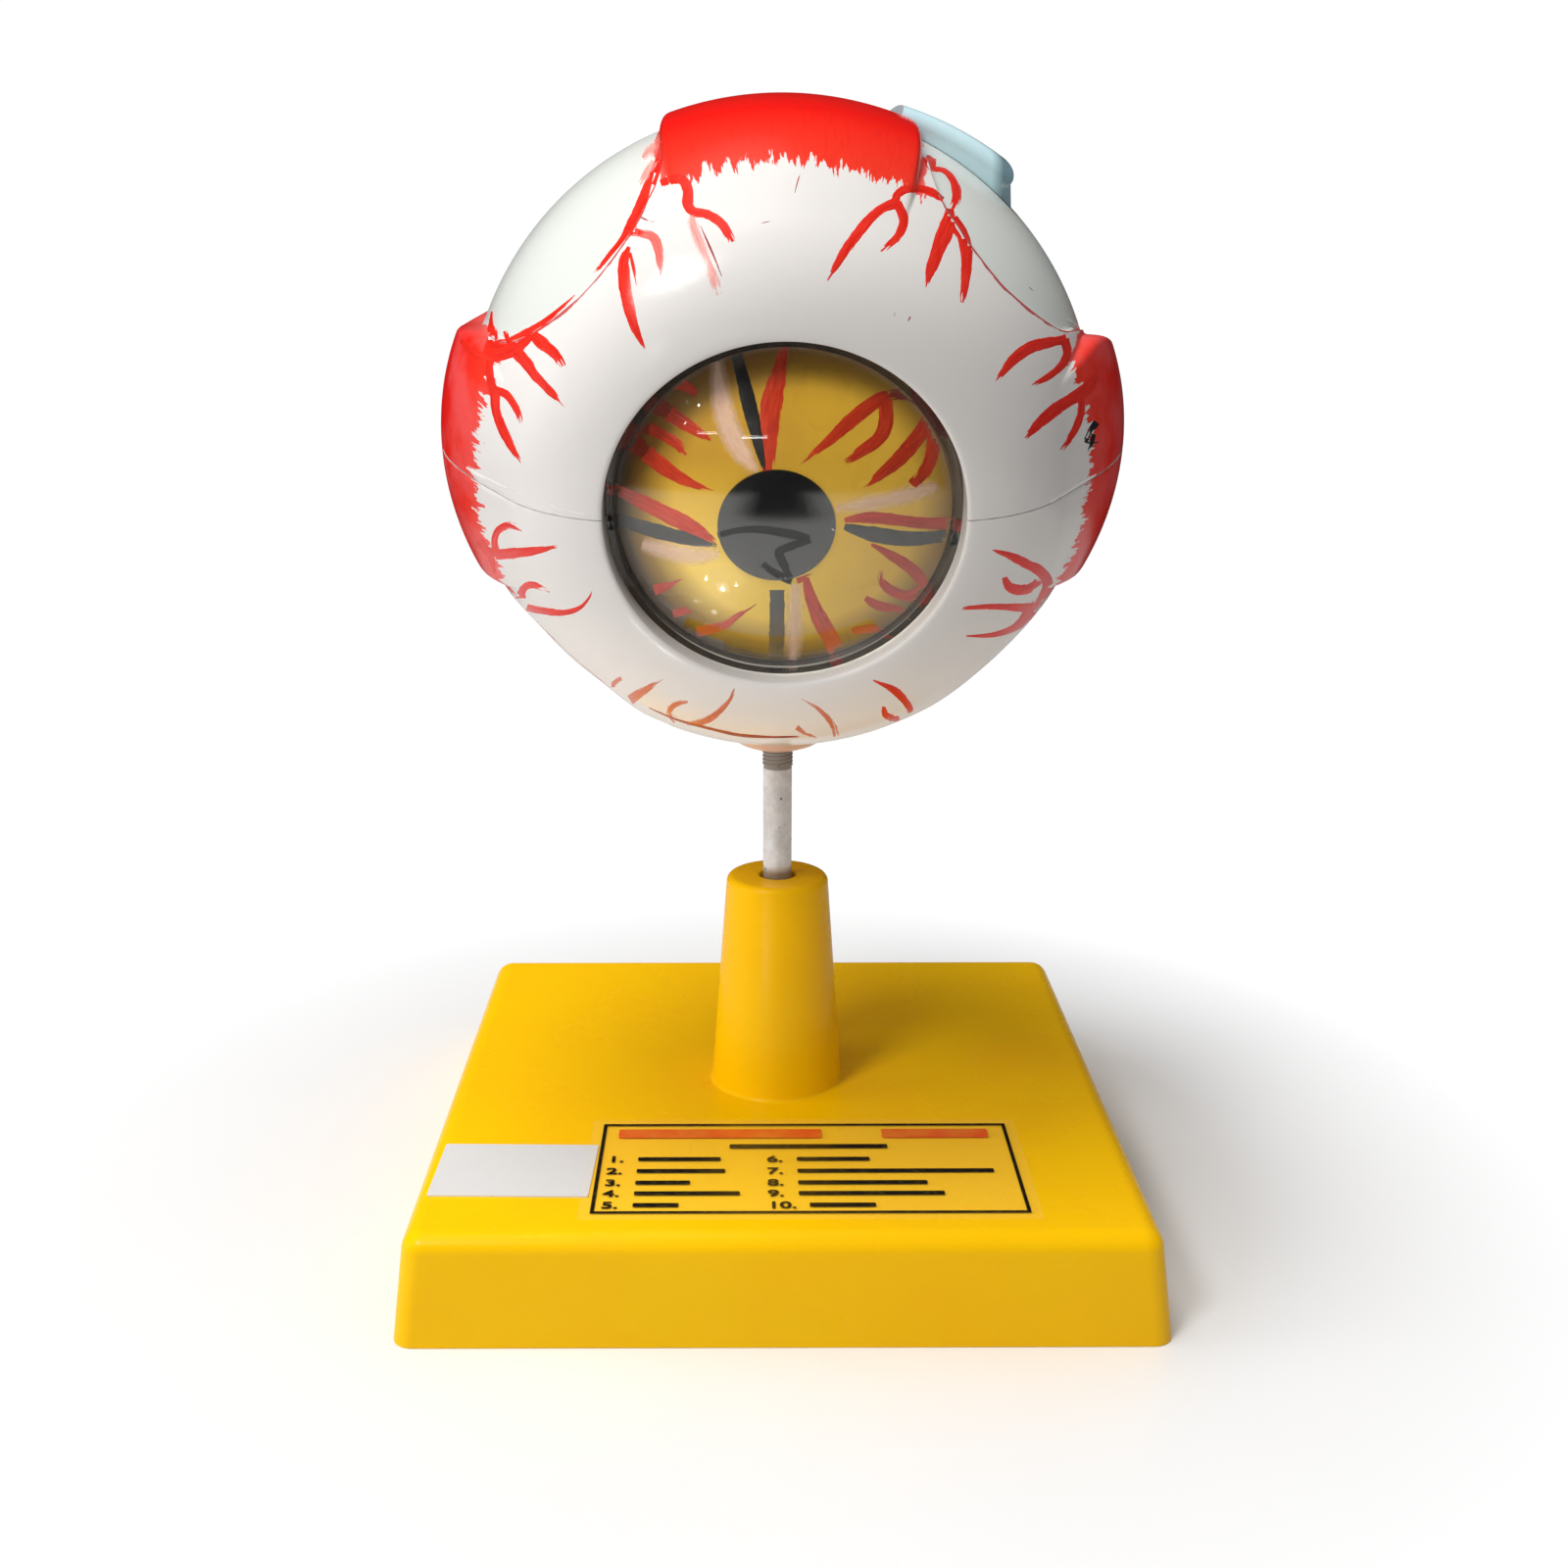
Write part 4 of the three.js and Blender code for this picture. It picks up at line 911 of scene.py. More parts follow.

# The white behind the sheet's edge is a second, cooler paint; its darker blue-grey tone is partly painted shade.
rear = ramp(ridge_mm, -0.5, 0.5)
cloud = add(tree, "TexNoise", {"Vector": place, "Scale": per_mm(40), "Detail": 4})
warm = blend(cloud, "ebe7e4", "e2deda")
cool = blend(cloud, "d6dad6", "dfe2db")
white = blend(rear, warm, cool)
# Painted light: the lower part of the ball is painted almost pure white, standing in for light bounced up from
# below.
white = blend(ramp(height, 140 * MM, 112 * MM, 0, 0.9), white, "fffbf8")
from_rod = add(tree, "VectorMath", {0: place, 1: (1, 1, 0)}, operation="MULTIPLY")
from_rod = add(tree, "VectorMath", {0: from_rod}, operation="LENGTH", output="Value")
near_rod = ramp(from_rod, BOSS_ROOT * MM, (BOSS_ROOT + 3) * MM, 0.75, 0)
under_ball = ramp(height, 106 * MM, 103 * MM)
by_boss = add(tree, "Math", {0: near_rod, 1: under_ball}, operation="MULTIPLY")
white = blend(by_boss, white, "e6b09a")
dots = add(tree, "TexVoronoi", {"Vector": place, "Scale": per_mm(26)})
white = blend(ramp(dots, 0.006, 0.012, 0.8, 0), white, "6d655e")

line_waver = ramp(waver, 0.35, 0.65, 0.2, 0.8)
from_crest = add(tree, "Math", {0: ridge_mm, 1: RIDGE_WIDTH / 2}, operation="ADD")
line_gap = add(tree, "Math", {0: from_crest}, operation="ABSOLUTE")
line_edge = add(tree, "Math", {0: line_gap, 1: line_waver}, operation="SUBTRACT")
drawn = ramp(line_edge, -0.15, 0.15, 0.9, 0)
line_mask = add(tree, "Math", {0: drawn, 1: outer_face}, operation="MULTIPLY")
white = blend(line_mask, white, "b8242a")
peel = add(tree, "TexNoise", {"Vector": place, "Scale": per_mm(1.6), "Detail": 2})
coat = add(tree, "Math", {0: red_mask, 1: peel}, operation="ADD")
thickness = add(tree, "Bump", {"Height": coat, "Strength": 0.12, "Distance": 0.12 * MM})
fill(shader, {"Base Color": blend(red_mask, white, deep_red), "Normal": thickness})
fill(shader, {"Roughness": ramp(cloud, 0.3, 0.7, 0.15, 0.25)})
dress(shell_upper, painted_white, "eye_upper", ["sclera_upper"])
dress(shell_lower, painted_white, "eye_lower", ["sclera_lower"])

# %% [markdown]
# ## The pale blue strap
# Beside the top muscle lies a raised strap, the end of an oblique muscle, with a rounded edge that shines.
# It could be cut from a box, but it hugs the ball, so a flat grid is bent over the ball in code and its
# border is rolled down in a quarter circle, then pulled down to the ball as a wall.

# %% Bend a grid over the ball
STRAP_FRONT, STRAP_SLANT, STRAP_BACK = 88, 6, 114
STRAP_LOW, STRAP_LEAN, STRAP_HIGH = 45.8, 3, 69.5
STRAP_RISE, STRAP_ROOT_RISE = 5.7, 4.2
STRAP_BEVEL = 2.6
STRAP_STEPS = 60

take()
bpy.ops.mesh.primitive_grid_add(x_subdivisions=STRAP_STEPS, y_subdivisions=STRAP_STEPS, size=2)
strap = named("oblique_strap")
open_mesh(strap)
bpy.ops.mesh.select_all(action="SELECT")
bpy.ops.mesh.extrude_region_move(TRANSFORM_OT_translate={"value": (0, 0, -1)})
face_out()
take(strap)
flat = points_of(strap.data)
along = (1 - np.cos(np.pi * (flat[:, 0] + 1) / 2)) / 2
across = 1 - np.cos(np.pi / 2 * (flat[:, 1] + 1) / 2)
top = flat[:, 2] > -0.5
low = STRAP_LOW + np.where(top, STRAP_LEAN, 0)
front = STRAP_FRONT + STRAP_SLANT * across
polar = front + (STRAP_BACK - front) * along
from_end = (STRAP_HIGH - low) * across
edge = np.radians(np.minimum(np.minimum(polar - front, STRAP_BACK - polar), from_end)) * BALL
roll = np.sqrt(np.clip(1 - (1 - np.clip(edge / STRAP_BEVEL, 0, 1)) ** 2, 0, 1))
rise = STRAP_RISE + (STRAP_ROOT_RISE - STRAP_RISE) * across - STRAP_BEVEL * (1 - roll)
reach = BALL + 0.1 + np.where(top, rise, 0)
strap.data.vertices.foreach_set("co", to_world(from_angles(reach, polar, low + from_end)).ravel())
strap.data.update()
finish_shape(strap, 50)

# %% Pale blue gloss paint
blue_paint, tree, shader, place = new_material("pale_blue_gloss_paint", 0.25)
wear = moulded_skin(tree, shader, place, rough=(0.12, 0.2), peel_mm=3, strength=0.15)
pale = blend(ramp(wear, 0.35, 0.65), "b8dce6", "cdeaf0")
from_middle = add(tree, "SeparateXYZ", {0: place})
# Painted shade: the strap's far end, which faces away from the lamps, is painted dark grey-blue.
pale = blend(ramp(from_middle, 40 * MM, 42.3 * MM, 0, 0.85), pale, "4a6670")
thin_spots = add(tree, "TexNoise", {"Vector": place, "Scale": per_mm(4), "Detail": 6})
thin_spots = ramp(thin_spots, 0.62, 0.8, 0, 0.5)
fill(shader, {"Base Color": blend(thin_spots, pale, "f3f7f5")})
dress(strap, blue_paint, "eye_upper", ["oblique_muscle"])

# %% [markdown]
# ## Cornea, iris and pupil
# Behind the round window sit two domes on flanges: a clear one in front, the cornea, and an ochre one
# behind it, the iris, with the black pupil as a disc of its own. All three are turned. The clear dome has
# both its faces and a real wall, because it is the second face that doubles the highlights.

# %% Turn the domes
FLANGE = 36.5
CORNEA_RADIUS, CORNEA_WALL = 32.35, 1.6
CORNEA_SHOULDER, CORNEA_APEX = 46.6, 55.6
CORNEA_FLANGE = (42.5, 41.0)
IRIS_RADIUS, IRIS_WALL = 30.25, 1.6
IRIS_SHOULDER, IRIS_APEX = 43.8, 52.3
IRIS_FLANGE = (40.7, 39.2)
PUPIL_RADIUS, PUPIL_PROUD, PUPIL_DEPTH = 10.4, 0.35, 2.4
PUPIL_OFFSET = -1.5


def domed_cap(name, radius, wall, shoulder, apex, flange):
    """A dome with a skirt and a flange, as one closed wall."""
    outline = [
        *dome(radius, shoulder, apex, 28),
        (radius, flange[0]),
        (FLANGE - 0.2, flange[0]),
        (FLANGE, flange[0] - 0.2),
        (FLANGE, flange[1] + 0.2),
        (FLANGE - 0.2, flange[1]),
        (radius - wall, flange[1]),
        *reversed(dome(radius - wall, shoulder - wall / 2, apex - wall, 28)),
    ]
    return finish_shape(ball_outline(name, outline, steps=160))


cornea = domed_cap("cornea_dome", CORNEA_RADIUS, CORNEA_WALL, CORNEA_SHOULDER, CORNEA_APEX, CORNEA_FLANGE)
iris = domed_cap("iris_dome", IRIS_RADIUS, IRIS_WALL, IRIS_SHOULDER, IRIS_APEX, IRIS_FLANGE)

iris_rise = IRIS_APEX - IRIS_SHOULDER
iris_ball = (IRIS_RADIUS**2 + iris_rise**2) / (2 * iris_rise)
iris_centre = IRIS_APEX - iris_ball
pupil_edge = math.degrees(math.asin(PUPIL_RADIUS / iris_ball))
pupil_lip = iris_centre + iris_ball * math.cos(math.radians(pupil_edge))
pupil_outline = [
    *arc(iris_ball + PUPIL_PROUD, 0, pupil_edge, 12, iris_centre),
    (PUPIL_RADIUS + 0.05, pupil_lip + 0.2),
    (PUPIL_RADIUS + 0.05, pupil_lip - PUPIL_DEPTH),
    (0, pupil_lip - PUPIL_DEPTH),
]
pupil_centre = EYE + X_AXIS * PUPIL_OFFSET * MM
pupil = finish_shape(spun("pupil_disc_face", pupil_outline, pupil_centre, FORWARD, X_AXIS, steps=128))

# %% [markdown]
# The cornea is cast acrylic: clear, glossy, with fine dust, and it mirrors less at its rim. Light has to
# reach the iris through it, so for a lamp's ray it lets light straight through. The iris is plastic with
# ochre gloss paint, with painted light and shade: brighter below and at its right as painted light, darker
# at the top and dark brown towards its edge as painted shade. The pupil is gloss black, a little smeared.

# %% Clear acrylic, ochre paint and gloss black
# The middle of the domes' paint is set a little right and up, so that the painted shade at the iris's rim is
# widest at the left and bottom.
PAINT_MIDDLE = EYE + (FORWARD * 50 + X_AXIS * 2.2 + EYE_UP * 2) * MM


def on_dome(tree, place):
    """How far a point of the domes lies from the middle of their paint."""
    centred = add(tree, "Mapping", {"Vector": place, "Location": -PAINT_MIDDLE})
    return add(tree, "VectorMath", {0: centred}, operation="LENGTH", output="Value")


def clear_plastic(name, tint, roughness=0.02, ior=1.49, mirror=0.16, rim=None):
    """Clear cast plastic: it bends and reflects what is seen, and lets the light of lamps through."""
    made, tree, shader, place = new_material(name, roughness, ior=ior)
    fill(shader, {"Transmission Weight": 1, "Specular IOR Level": mirror})
    if rim:
        near_rim = ramp(on_dome(tree, place), *rim, mirror, mirror / 5)
        fill(shader, {"Specular IOR Level": near_rim})
    fill(shader, {"Base Color": linear(tint)})
    dust = add(tree, "TexNoise", {"Vector": place, "Scale": per_mm(14), "Detail": 6})
    fill(shader, {"Roughness": ramp(dust, 0.45, 0.8, roughness, roughness + 0.03)})
    waves = add(tree, "TexNoise", {"Vector": place, "Scale": per_mm(18), "Detail": 1})
    bump = add(tree, "Bump", {"Height": waves, "Strength": 0.05, "Distance": 0.2 * MM})
    fill(shader, {"Normal": bump})
    lamp_ray = add(tree, "LightPath", output="Is Shadow Ray")
    through = add(tree, "BsdfTransparent", {"Color": linear(tint)})
    mixed = add(tree, "MixShader", {0: lamp_ray, 1: shader.outputs[0], 2: through})
    fill(tree.nodes["Material Output"], {"Surface": mixed})
    return made


acrylic = clear_plastic("clear_cast_acrylic", "fbfbf8", mirror=0.11, rim=(26 * MM, 31 * MM))
dress(cornea, acrylic, "cornea", ["cornea"])

ochre_paint, tree, shader, place = new_material("ochre_gloss_paint", 0.3)
wear = moulded_skin(tree, shader, place, rough=(0.25, 0.4), peel_mm=3, strength=0.1)
away = on_dome(tree, place)
ochre = blend(ramp(wear, 0.35, 0.65), "d4a42e", "c89828")
clouds = add(tree, "TexNoise", {"Vector": place, "Scale": per_mm(22), "Detail": 3})
ochre = blend(ramp(clouds, 0.4, 0.75, 0, 0.45), ochre, "cc9a2c")
to_right, _, height = add(tree, "SeparateXYZ", {0: place}, output=None)
# Painted light and shade on the ochre: brighter below and to the right, darker at the top under the collar, and
# dark brown towards the rim in the window's shade.
for axis, low, high, most, colour in (
    (height, 168, 150, 0.95, "ffd648"),
    (to_right, -2, 18, 0.85, "fac844"),
    (height, 177, 192, 0.45, "7a5518"),
    (away, 22, 28.5, 0.82, "744a10"),
    (away, 29, 32, 0.85, "2c1806"),
):
    ochre = blend(ramp(axis, low * MM, high * MM, 0, most), ochre, colour)
fill(shader, {"Base Color": ochre})
dress(iris, ochre_paint, "iris", ["iris"])

gloss_black, tree, shader, place = new_material("gloss_black_styrene", 0.12, ior=1.59)
fill(shader, {"Specular IOR Level": 1.0, "Coat Weight": 0.1})
smear = moulded_skin(tree, shader, place, rough=(0.08, 0.22), peel_mm=5, strength=0.06)
fill(shader, {"Base Color": blend(smear, "121214", "1c1b1e")})
dress(pupil, gloss_black, "iris", ["pupil_disc"])

# %% [markdown]
# ## Inside the ball
# When the upper half lifts off, the inner parts show: the ring that holds the flanges and the lens, the
# clear lens, the clear inner ball, the orange retina cup in two halves, the yellow disc and the nerve.
# They are all turned too, the halves by half a turn with closed ends.

# %% The holder ring, in two halves
HOLDER_FRONT, HOLDER_WEB, HOLDER_TOP = 38.9, 35.5, 42.4
SLEEVE, SLEEVE_BACK, SLEEVE_CHAMFER = 24, 27.2, 0.4
LENS_RADIUS, LENS_HALF, LENS_EDGE = 21, 8, 1.6
LENS_MIDDLE, LENS_MOUTH = 30.6, 19.2
GROOVE_RADIUS, GROOVE_INNER, GROOVE_OUTER = LENS_RADIUS + 0.3, 0.95, 2.45
HALF_GAP = 0.12
flange_ring = FLANGE + 0.4
ring_outer = CAVITY - 0.3
ring_outline = [
    (flange_ring, HOLDER_FRONT),
    (flange_ring, HOLDER_TOP),
    *arc(ring_outer, polar_at(ring_outer, HOLDER_TOP), polar_at(ring_outer, HOLDER_WEB), 8),
    (SLEEVE + 1, HOLDER_WEB),
    (SLEEVE, HOLDER_WEB - 1),
    (SLEEVE, SLEEVE_BACK + SLEEVE_CHAMFER),
    (SLEEVE - SLEEVE_CHAMFER, SLEEVE_BACK),
    (LENS_MOUTH, SLEEVE_BACK),
    (LENS_MOUTH, LENS_MIDDLE - GROOVE_OUTER),
    (GROOVE_RADIUS, LENS_MIDDLE - GROOVE_INNER),
    (GROOVE_RADIUS, LENS_MIDDLE + GROOVE_INNER),
    (LENS_MOUTH, LENS_MIDDLE + GROOVE_OUTER),
    (LENS_MOUTH, HOLDER_FRONT - 0.3),
    (LENS_MOUTH + 0.3, HOLDER_FRONT),
]


def lifted_half(piece, side):
    """Moves a half's cut faces a hair off the seam."""
    open_mesh(piece)
    home = piece.matrix_world.copy()
    pick(piece, "VERT", lambda v: abs(((home @ v.co) - EYE).dot(EYE_UP)) < 0.01 * MM)
    bpy.ops.transform.translate(value=EYE_UP * HALF_GAP * side * MM)
    bpy.ops.object.mode_set(mode="OBJECT")
    return piece


def turned_half(name, outline, side, steps):
    """Half a turn of an outline, over the seam or under it."""
    half = ball_outline(name, outline, across=X_AXIS * side, sweep=180, steps=steps, closed=True)
    return lifted_half(half, side)


ring_upper = finish_shape(turned_half("ciliary_ring_top", ring_outline, 1, 80), 30)
ring_lower = finish_shape(turned_half("ciliary_ring_bottom", ring_outline, -1, 80), 30)

# %% The lens and the inner ball
lens_face = dome(LENS_RADIUS, LENS_EDGE / 2, LENS_HALF, 24)
lens_outline = [(r, LENS_MIDDLE + h) for r, h in lens_face]
lens_outline += [(r, LENS_MIDDLE - h) for r, h in reversed(lens_face)]
lens = finish_shape(ball_outline("lens_body", lens_outline, steps=128), 30)

VITREOUS, VITREOUS_WALL = 51.7, 1.6
VITREOUS_FRONT, VITREOUS_MOUTH = 22.0, 6
inner_ball = VITREOUS - VITREOUS_WALL
inner_front = VITREOUS_FRONT - VITREOUS_WALL
vitreous_outline = [
    (VITREOUS_MOUTH, VITREOUS_FRONT),
    (math.sqrt(VITREOUS**2 - VITREOUS_FRONT**2) - 1.2, VITREOUS_FRONT),
    *arc(VITREOUS, polar_at(VITREOUS, VITREOUS_FRONT - 0.8), 180, 48),
    *arc(inner_ball, 180, polar_at(inner_ball, inner_front), 40),
    (VITREOUS_MOUTH, inner_front),
]
vitreous = finish_shape(ball_outline("vitreous_ball", vitreous_outline, steps=128, closed=True), 30)

# %% The retina cups with their flat rims
RETINA, RETINA_WALL, RETINA_FRONT = 52, 2, 29.0
RIM_HIGH = 2.15
retina_outer = RETINA + RETINA_WALL
cup_outline = [
    *arc(retina_outer, polar_at(retina_outer, RETINA_FRONT), 180, 40),
    *arc(RETINA, 180, polar_at(RETINA, RETINA_FRONT), 40),
]
rim_start = math.degrees(math.acos(RETINA_FRONT / ring_outer))


def retina_cup(name, side):
    """Half a cup with the rim plate that centres it in the shell."""
    cup = turned_half(name, cup_outline, side, 96)
    rim_outline = [(r, side * h) for r, h in (
        (RETINA + 1, HALF_GAP), (ring_outer, HALF_GAP), (ring_outer, RIM_HIGH), (RETINA + 1, RIM_HIGH))]
    begin = FORWARD * math.cos(math.radians(rim_start)) + X_AXIS * math.sin(math.radians(rim_start))
    sweep = 360 - 2 * rim_start
    rim = spun(name + "_rim", rim_outline, EYE, EYE_UP, begin, sweep=sweep, steps=96, closed=True)
    return finish_shape(joined(name, rim, cup), 30)


retina_upper = retina_cup("retina_cup_top", 1)
retina_lower = retina_cup("retina_cup_bottom", -1)

# %% The nerve, its sheath and the disc
NERVE_DROP = math.radians(15)
NERVE_BACK = -FORWARD * math.cos(NERVE_DROP) - EYE_UP * math.sin(NERVE_DROP)
NERVE_RADIUS, SHEATH_RADIUS = 6, 8.5
NERVE_FROM, NERVE_END = 53.9, 84.5
SHEATH_END = 79
SHEATH_FLANGE, SHEATH_FLANGE_BACK = 11, 58.1
nerve_outline = [(0, NERVE_FROM), (NERVE_RADIUS, NERVE_FROM), (NERVE_RADIUS, NERVE_END - 1)]
nerve_outline += [(NERVE_RADIUS - 1 + r, NERVE_END - 1 + z) for r, z in arc(1, 70, 10, 4)] + [(0, NERVE_END)]
nerve = finish_shape(spun("nerve_core", nerve_outline, EYE, NERVE_BACK, X_AXIS, steps=64))
sheath_outline = [
    (NERVE_RADIUS + 0.3, SHEATH_FLANGE_BACK - 2),
    (SHEATH_FLANGE, SHEATH_FLANGE_BACK - 2),
    (SHEATH_FLANGE, SHEATH_FLANGE_BACK),
    (SHEATH_RADIUS, SHEATH_FLANGE_BACK),
    (SHEATH_RADIUS, 63),
    (SHEATH_RADIUS - 0.1, 70),
    (SHEATH_RADIUS - 0.4, SHEATH_END - 0.6),
    (SHEATH_RADIUS - 1.0, SHEATH_END),
    (NERVE_RADIUS + 0.5, SHEATH_END),
    (NERVE_RADIUS + 0.3, SHEATH_END - 0.4),
]
sheath = finish_shape(
    spun("nerve_sheath_tube", sheath_outline, EYE, NERVE_BACK, X_AXIS, steps=64, closed=True), 30)
disc_low, disc_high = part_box("optic_disc")
DISC_RADIUS, DISC_BACK = 6, 53.55
disc_outline = [(0, 51.95), (4.6, 51.75), (5.6, 51.9), (DISC_RADIUS, 52.3)]
disc_outline += [(DISC_RADIUS, DISC_BACK), (0, DISC_BACK)]
disc = finish_shape(spun("optic_disc_button", disc_outline, EYE, NERVE_BACK, X_AXIS, steps=64))
print("disc box", [round(v / MM, 1) for v in (*disc_low, *disc_high)])

# %% Pegs, nut and washer
PEG_RADIUS, PEG_REACH, PEG_CHAMFER = 1.4, 4, 0.5
for side, name in ((-1, "left"), (1, "right")):
    low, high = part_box(f"locating_peg_{name}")
    peg_x = (low.x + high.x) / 2 / MM
    peg_outline = [
        (0, -PEG_REACH),
        (PEG_RADIUS, -PEG_REACH),
        (PEG_RADIUS, PEG_REACH - PEG_CHAMFER),
        (PEG_RADIUS - 0.15, PEG_REACH - 0.15),
        (PEG_RADIUS - PEG_CHAMFER, PEG_REACH),
        (0, PEG_REACH),
    ]
    peg = spun(f"peg_{name}", peg_outline, EYE + X_AXIS * peg_x * MM, EYE_UP, X_AXIS, steps=32)
    finish_shape(peg, 30)

NUT_LOW, NUT_HEIGHT, NUT_FLATS = 107.19, 5.2, 11.1
WASHER_RADIUS, WASHER_LOW, WASHER_HIGH, WASHER_EDGE = 7.4, 112.69, 113.89, 0.1
take()
bpy.ops.mesh.primitive_circle_add(
    vertices=6, radius=NUT_FLATS / math.sqrt(3) * MM, fill_type="NGON", location=(0, 0, NUT_LOW * MM))
nut = named("captive_nut")
open_mesh(nut)
bpy.ops.mesh.select_all(action="SELECT")
bpy.ops.mesh.inset(thickness=(NUT_FLATS / 2 - BOSS_HOLE) * MM * 0.98)
bpy.ops.mesh.delete(type="FACE")
push_up(NUT_HEIGHT)
pick(nut, "EDGE", lambda edge: abs(edge.verts[0].co.z - edge.verts[1].co.z) < 1e-6)
bpy.ops.mesh.bevel(offset=0.3 * MM, segments=2)
finish_shape(nut, 30)
washer_outline = [
    (BOSS_HOLE, WASHER_LOW),
    (WASHER_RADIUS - WASHER_EDGE, WASHER_LOW),
    (WASHER_RADIUS, WASHER_LOW + WASHER_EDGE),
    (WASHER_RADIUS, WASHER_HIGH - WASHER_EDGE),
    (WASHER_RADIUS - WASHER_EDGE, WASHER_HIGH),
    (BOSS_HOLE, WASHER_HIGH),
]
washer = finish_shape(spun("nut_washer_ring", washer_outline, ORIGIN, Z_AXIS, X_AXIS, closed=True), 30)

# %% [markdown]
# The inner pieces are brush-painted plastic: the retina orange, the ring dark red with radial folds, the
# nerve and its parts in yellows and creams. The folds are a sine of the angle round the line of sight, which
# a gradient texture gives once its space is turned to that line.

# %% Paints of the inner pieces
FOLDS = 60
orange_paint = mottled("orange_brush_paint", "d97a2c", "eda24a", 0.45, 16, between=(0, 1), skin=(0.35, 0.5))
dress(retina_upper, orange_paint, "eye_upper", ["retina_upper"])
dress(retina_lower, orange_paint, "eye_lower", ["retina_lower"])

red_brown, tree, shader, place = new_material("dark_red_brush_paint", 0.4)
moulded_skin(tree, shader, place, rough=(0.32, 0.48), peel_mm=2, strength=0.2)
eye_turn = (math.pi / 2 + EYE_NOD, 0, 0)
on_axis = {"Vector": place, "Location": EYE, "Rotation": eye_turn}
on_axis = add(tree, "Mapping", on_axis, vector_type="TEXTURE")
round_axis = add(tree, "TexGradient", {"Vector": on_axis}, gradient_type="RADIAL", output="Fac")
turned = add(tree, "Math", {0: round_axis, 1: 2 * math.pi * FOLDS}, operation="MULTIPLY")
fold = add(tree, "Math", {0: turned}, operation="SINE")
strokes = add(tree, "TexNoise", {"Vector": place, "Scale": per_mm(5), "Detail": 5, "Roughness": 0.65})
ring_red = blend(ramp(strokes, 0.35, 0.65), "8f2f24", "b04a36")
# Painted shade: the grooves between the folds are painted darker, in step with their bump.
fill(shader, {"Base Color": blend(ramp(fold, 0, 0.9, 0, 0.7), ring_red, "5c1a14")})
groove = add(tree, "Bump", {"Height": fold, "Strength": 0.5, "Distance": -0.4 * MM})
fill(shader, {"Normal": groove})
dress(ring_upper, red_brown, "eye_upper", ["ciliary_ring_upper"])
dress(ring_lower, red_brown, "eye_lower", ["ciliary_ring_lower"])

dress(lens, clear_plastic("clear_lens_acrylic", "f2f8fa"), "lens", ["lens"])
dress(vitreous, clear_plastic("blown_clear_plastic", "f0f6f6", 0.05), "vitreous",
      ["vitreous_humour"])


def brush_painted(name, light, dark, roughness=0.4, stroke_mm=3):
    """Matt brush paint with strokes of a second tone."""
    skin = (roughness - 0.06, roughness + 0.08)
    return mottled(name, light, dark, roughness, stroke_mm, detail=5, skin=skin)


pale_yellow = brush_painted("pale_yellow_paint", "f5e79a", "e8d273")
yellow_paint = brush_painted("yellow_paint", "f2d565", "e2bf48")
cream_paint = brush_painted("cream_paint", "efe8cc", "e0d6b2")
dress(disc, pale_yellow, "eye_lower", ["optic_disc"])
dress(nerve, yellow_paint, "eye_lower", ["optic_nerve"])
dress(sheath, cream_paint, "eye_lower", ["nerve_sheath"])
peg_plastic = brush_painted("natural_nylon", "e4e0d6", "d3cec2")
steel, tree, shader, place = new_material("zinc_plated_steel", 0.32, metallic=1.0)
spangle = add(tree, "TexNoise", {"Vector": place, "Scale": per_mm(2), "Detail": 4})
fill(shader, {"Base Color": blend(spangle, "a8a9ab", "cfcfcd")})
fill(shader, {"Roughness": ramp(spangle, 0.3, 0.7, 0.25, 0.45)})
dress(nut, steel, "eye_lower", ["stem_nut"])
dress(washer, steel, "eye_lower", ["nut_washer"])
for side in ("left", "right"):
    dress(bpy.data.objects[f"peg_{side}"], peg_plastic, "eye_lower", [f"locating_peg_{side}"])

# %% [markdown]
# ## Brush strokes
# The vessels on the white, the stripes on the iris and the mark on the pupil are single strokes of a brush:
# narrow at the ends, wide in the middle, a hair thick. A curve with a bevel could follow a flat wall, but
# these lie on bulges and steps. Each stroke is therefore named by where the photograph shows it, with its
# width in millimetres; every point of it is sent along the camera's line of sight until it meets the
# surface, and a thin closed ribbon of paint is laid there.

# %% Lay a ribbon of paint on a surface
PX_PER_MM = 4.95
PAINT_THICK = 0.07
STROKE_STEP_PX = 4
DRY_END = 3.5
brush = random.Random(7)


def surface_of(piece):
    """A piece's surface, ready to be met by lines of sight."""
    corners_of = [tuple(v.co) for v in piece.data.vertices]
    return BVHTree.FromPolygons(corners_of, [tuple(face.vertices) for face in piece.data.polygons])


def eased(points):
    """A smooth path of (x, y, width) through the points of a stroke."""
    padded = [points[0], *points, points[-1]]
    path = []
    for before, start, end, after in zip(padded, padded[1:], padded[2:], padded[3:]):
        count = max(2, round(math.dist(start[:2], end[:2]) / STROKE_STEP_PX))
        for i in range(count):
            t = i / count
            path.append(tuple(
                0.5 * (2 * b + (c - a) * t
                       + (2 * a - 5 * b + 4 * c - d) * t * t
                       + (3 * b - a - 3 * c + d) * t**3)
                for a, b, c, d in zip(before, start, end, after)))
    return path + [points[-1]]


def met_by(surfaces, x, y):
    """Where the line of sight of a pixel meets the nearest surface."""
    found = [surface.ray_cast(camera.location, sight_line(x, y)) for surface in surfaces]
    found = [hit for hit in found if hit[0] is not None]
    return min(found, key=lambda hit: hit[3]) if found else None


RIBBON = ((-1, 0.3), (-0.8, 0.8), (-0.3, 1), (0.3, 1), (0.8, 0.8), (1, 0.3), (0, -2.5))


def layer(kind, name):
    """The layer of a name among a mesh's values, made when it isn't there yet."""
    return kind.get(name) or kind.new(name)


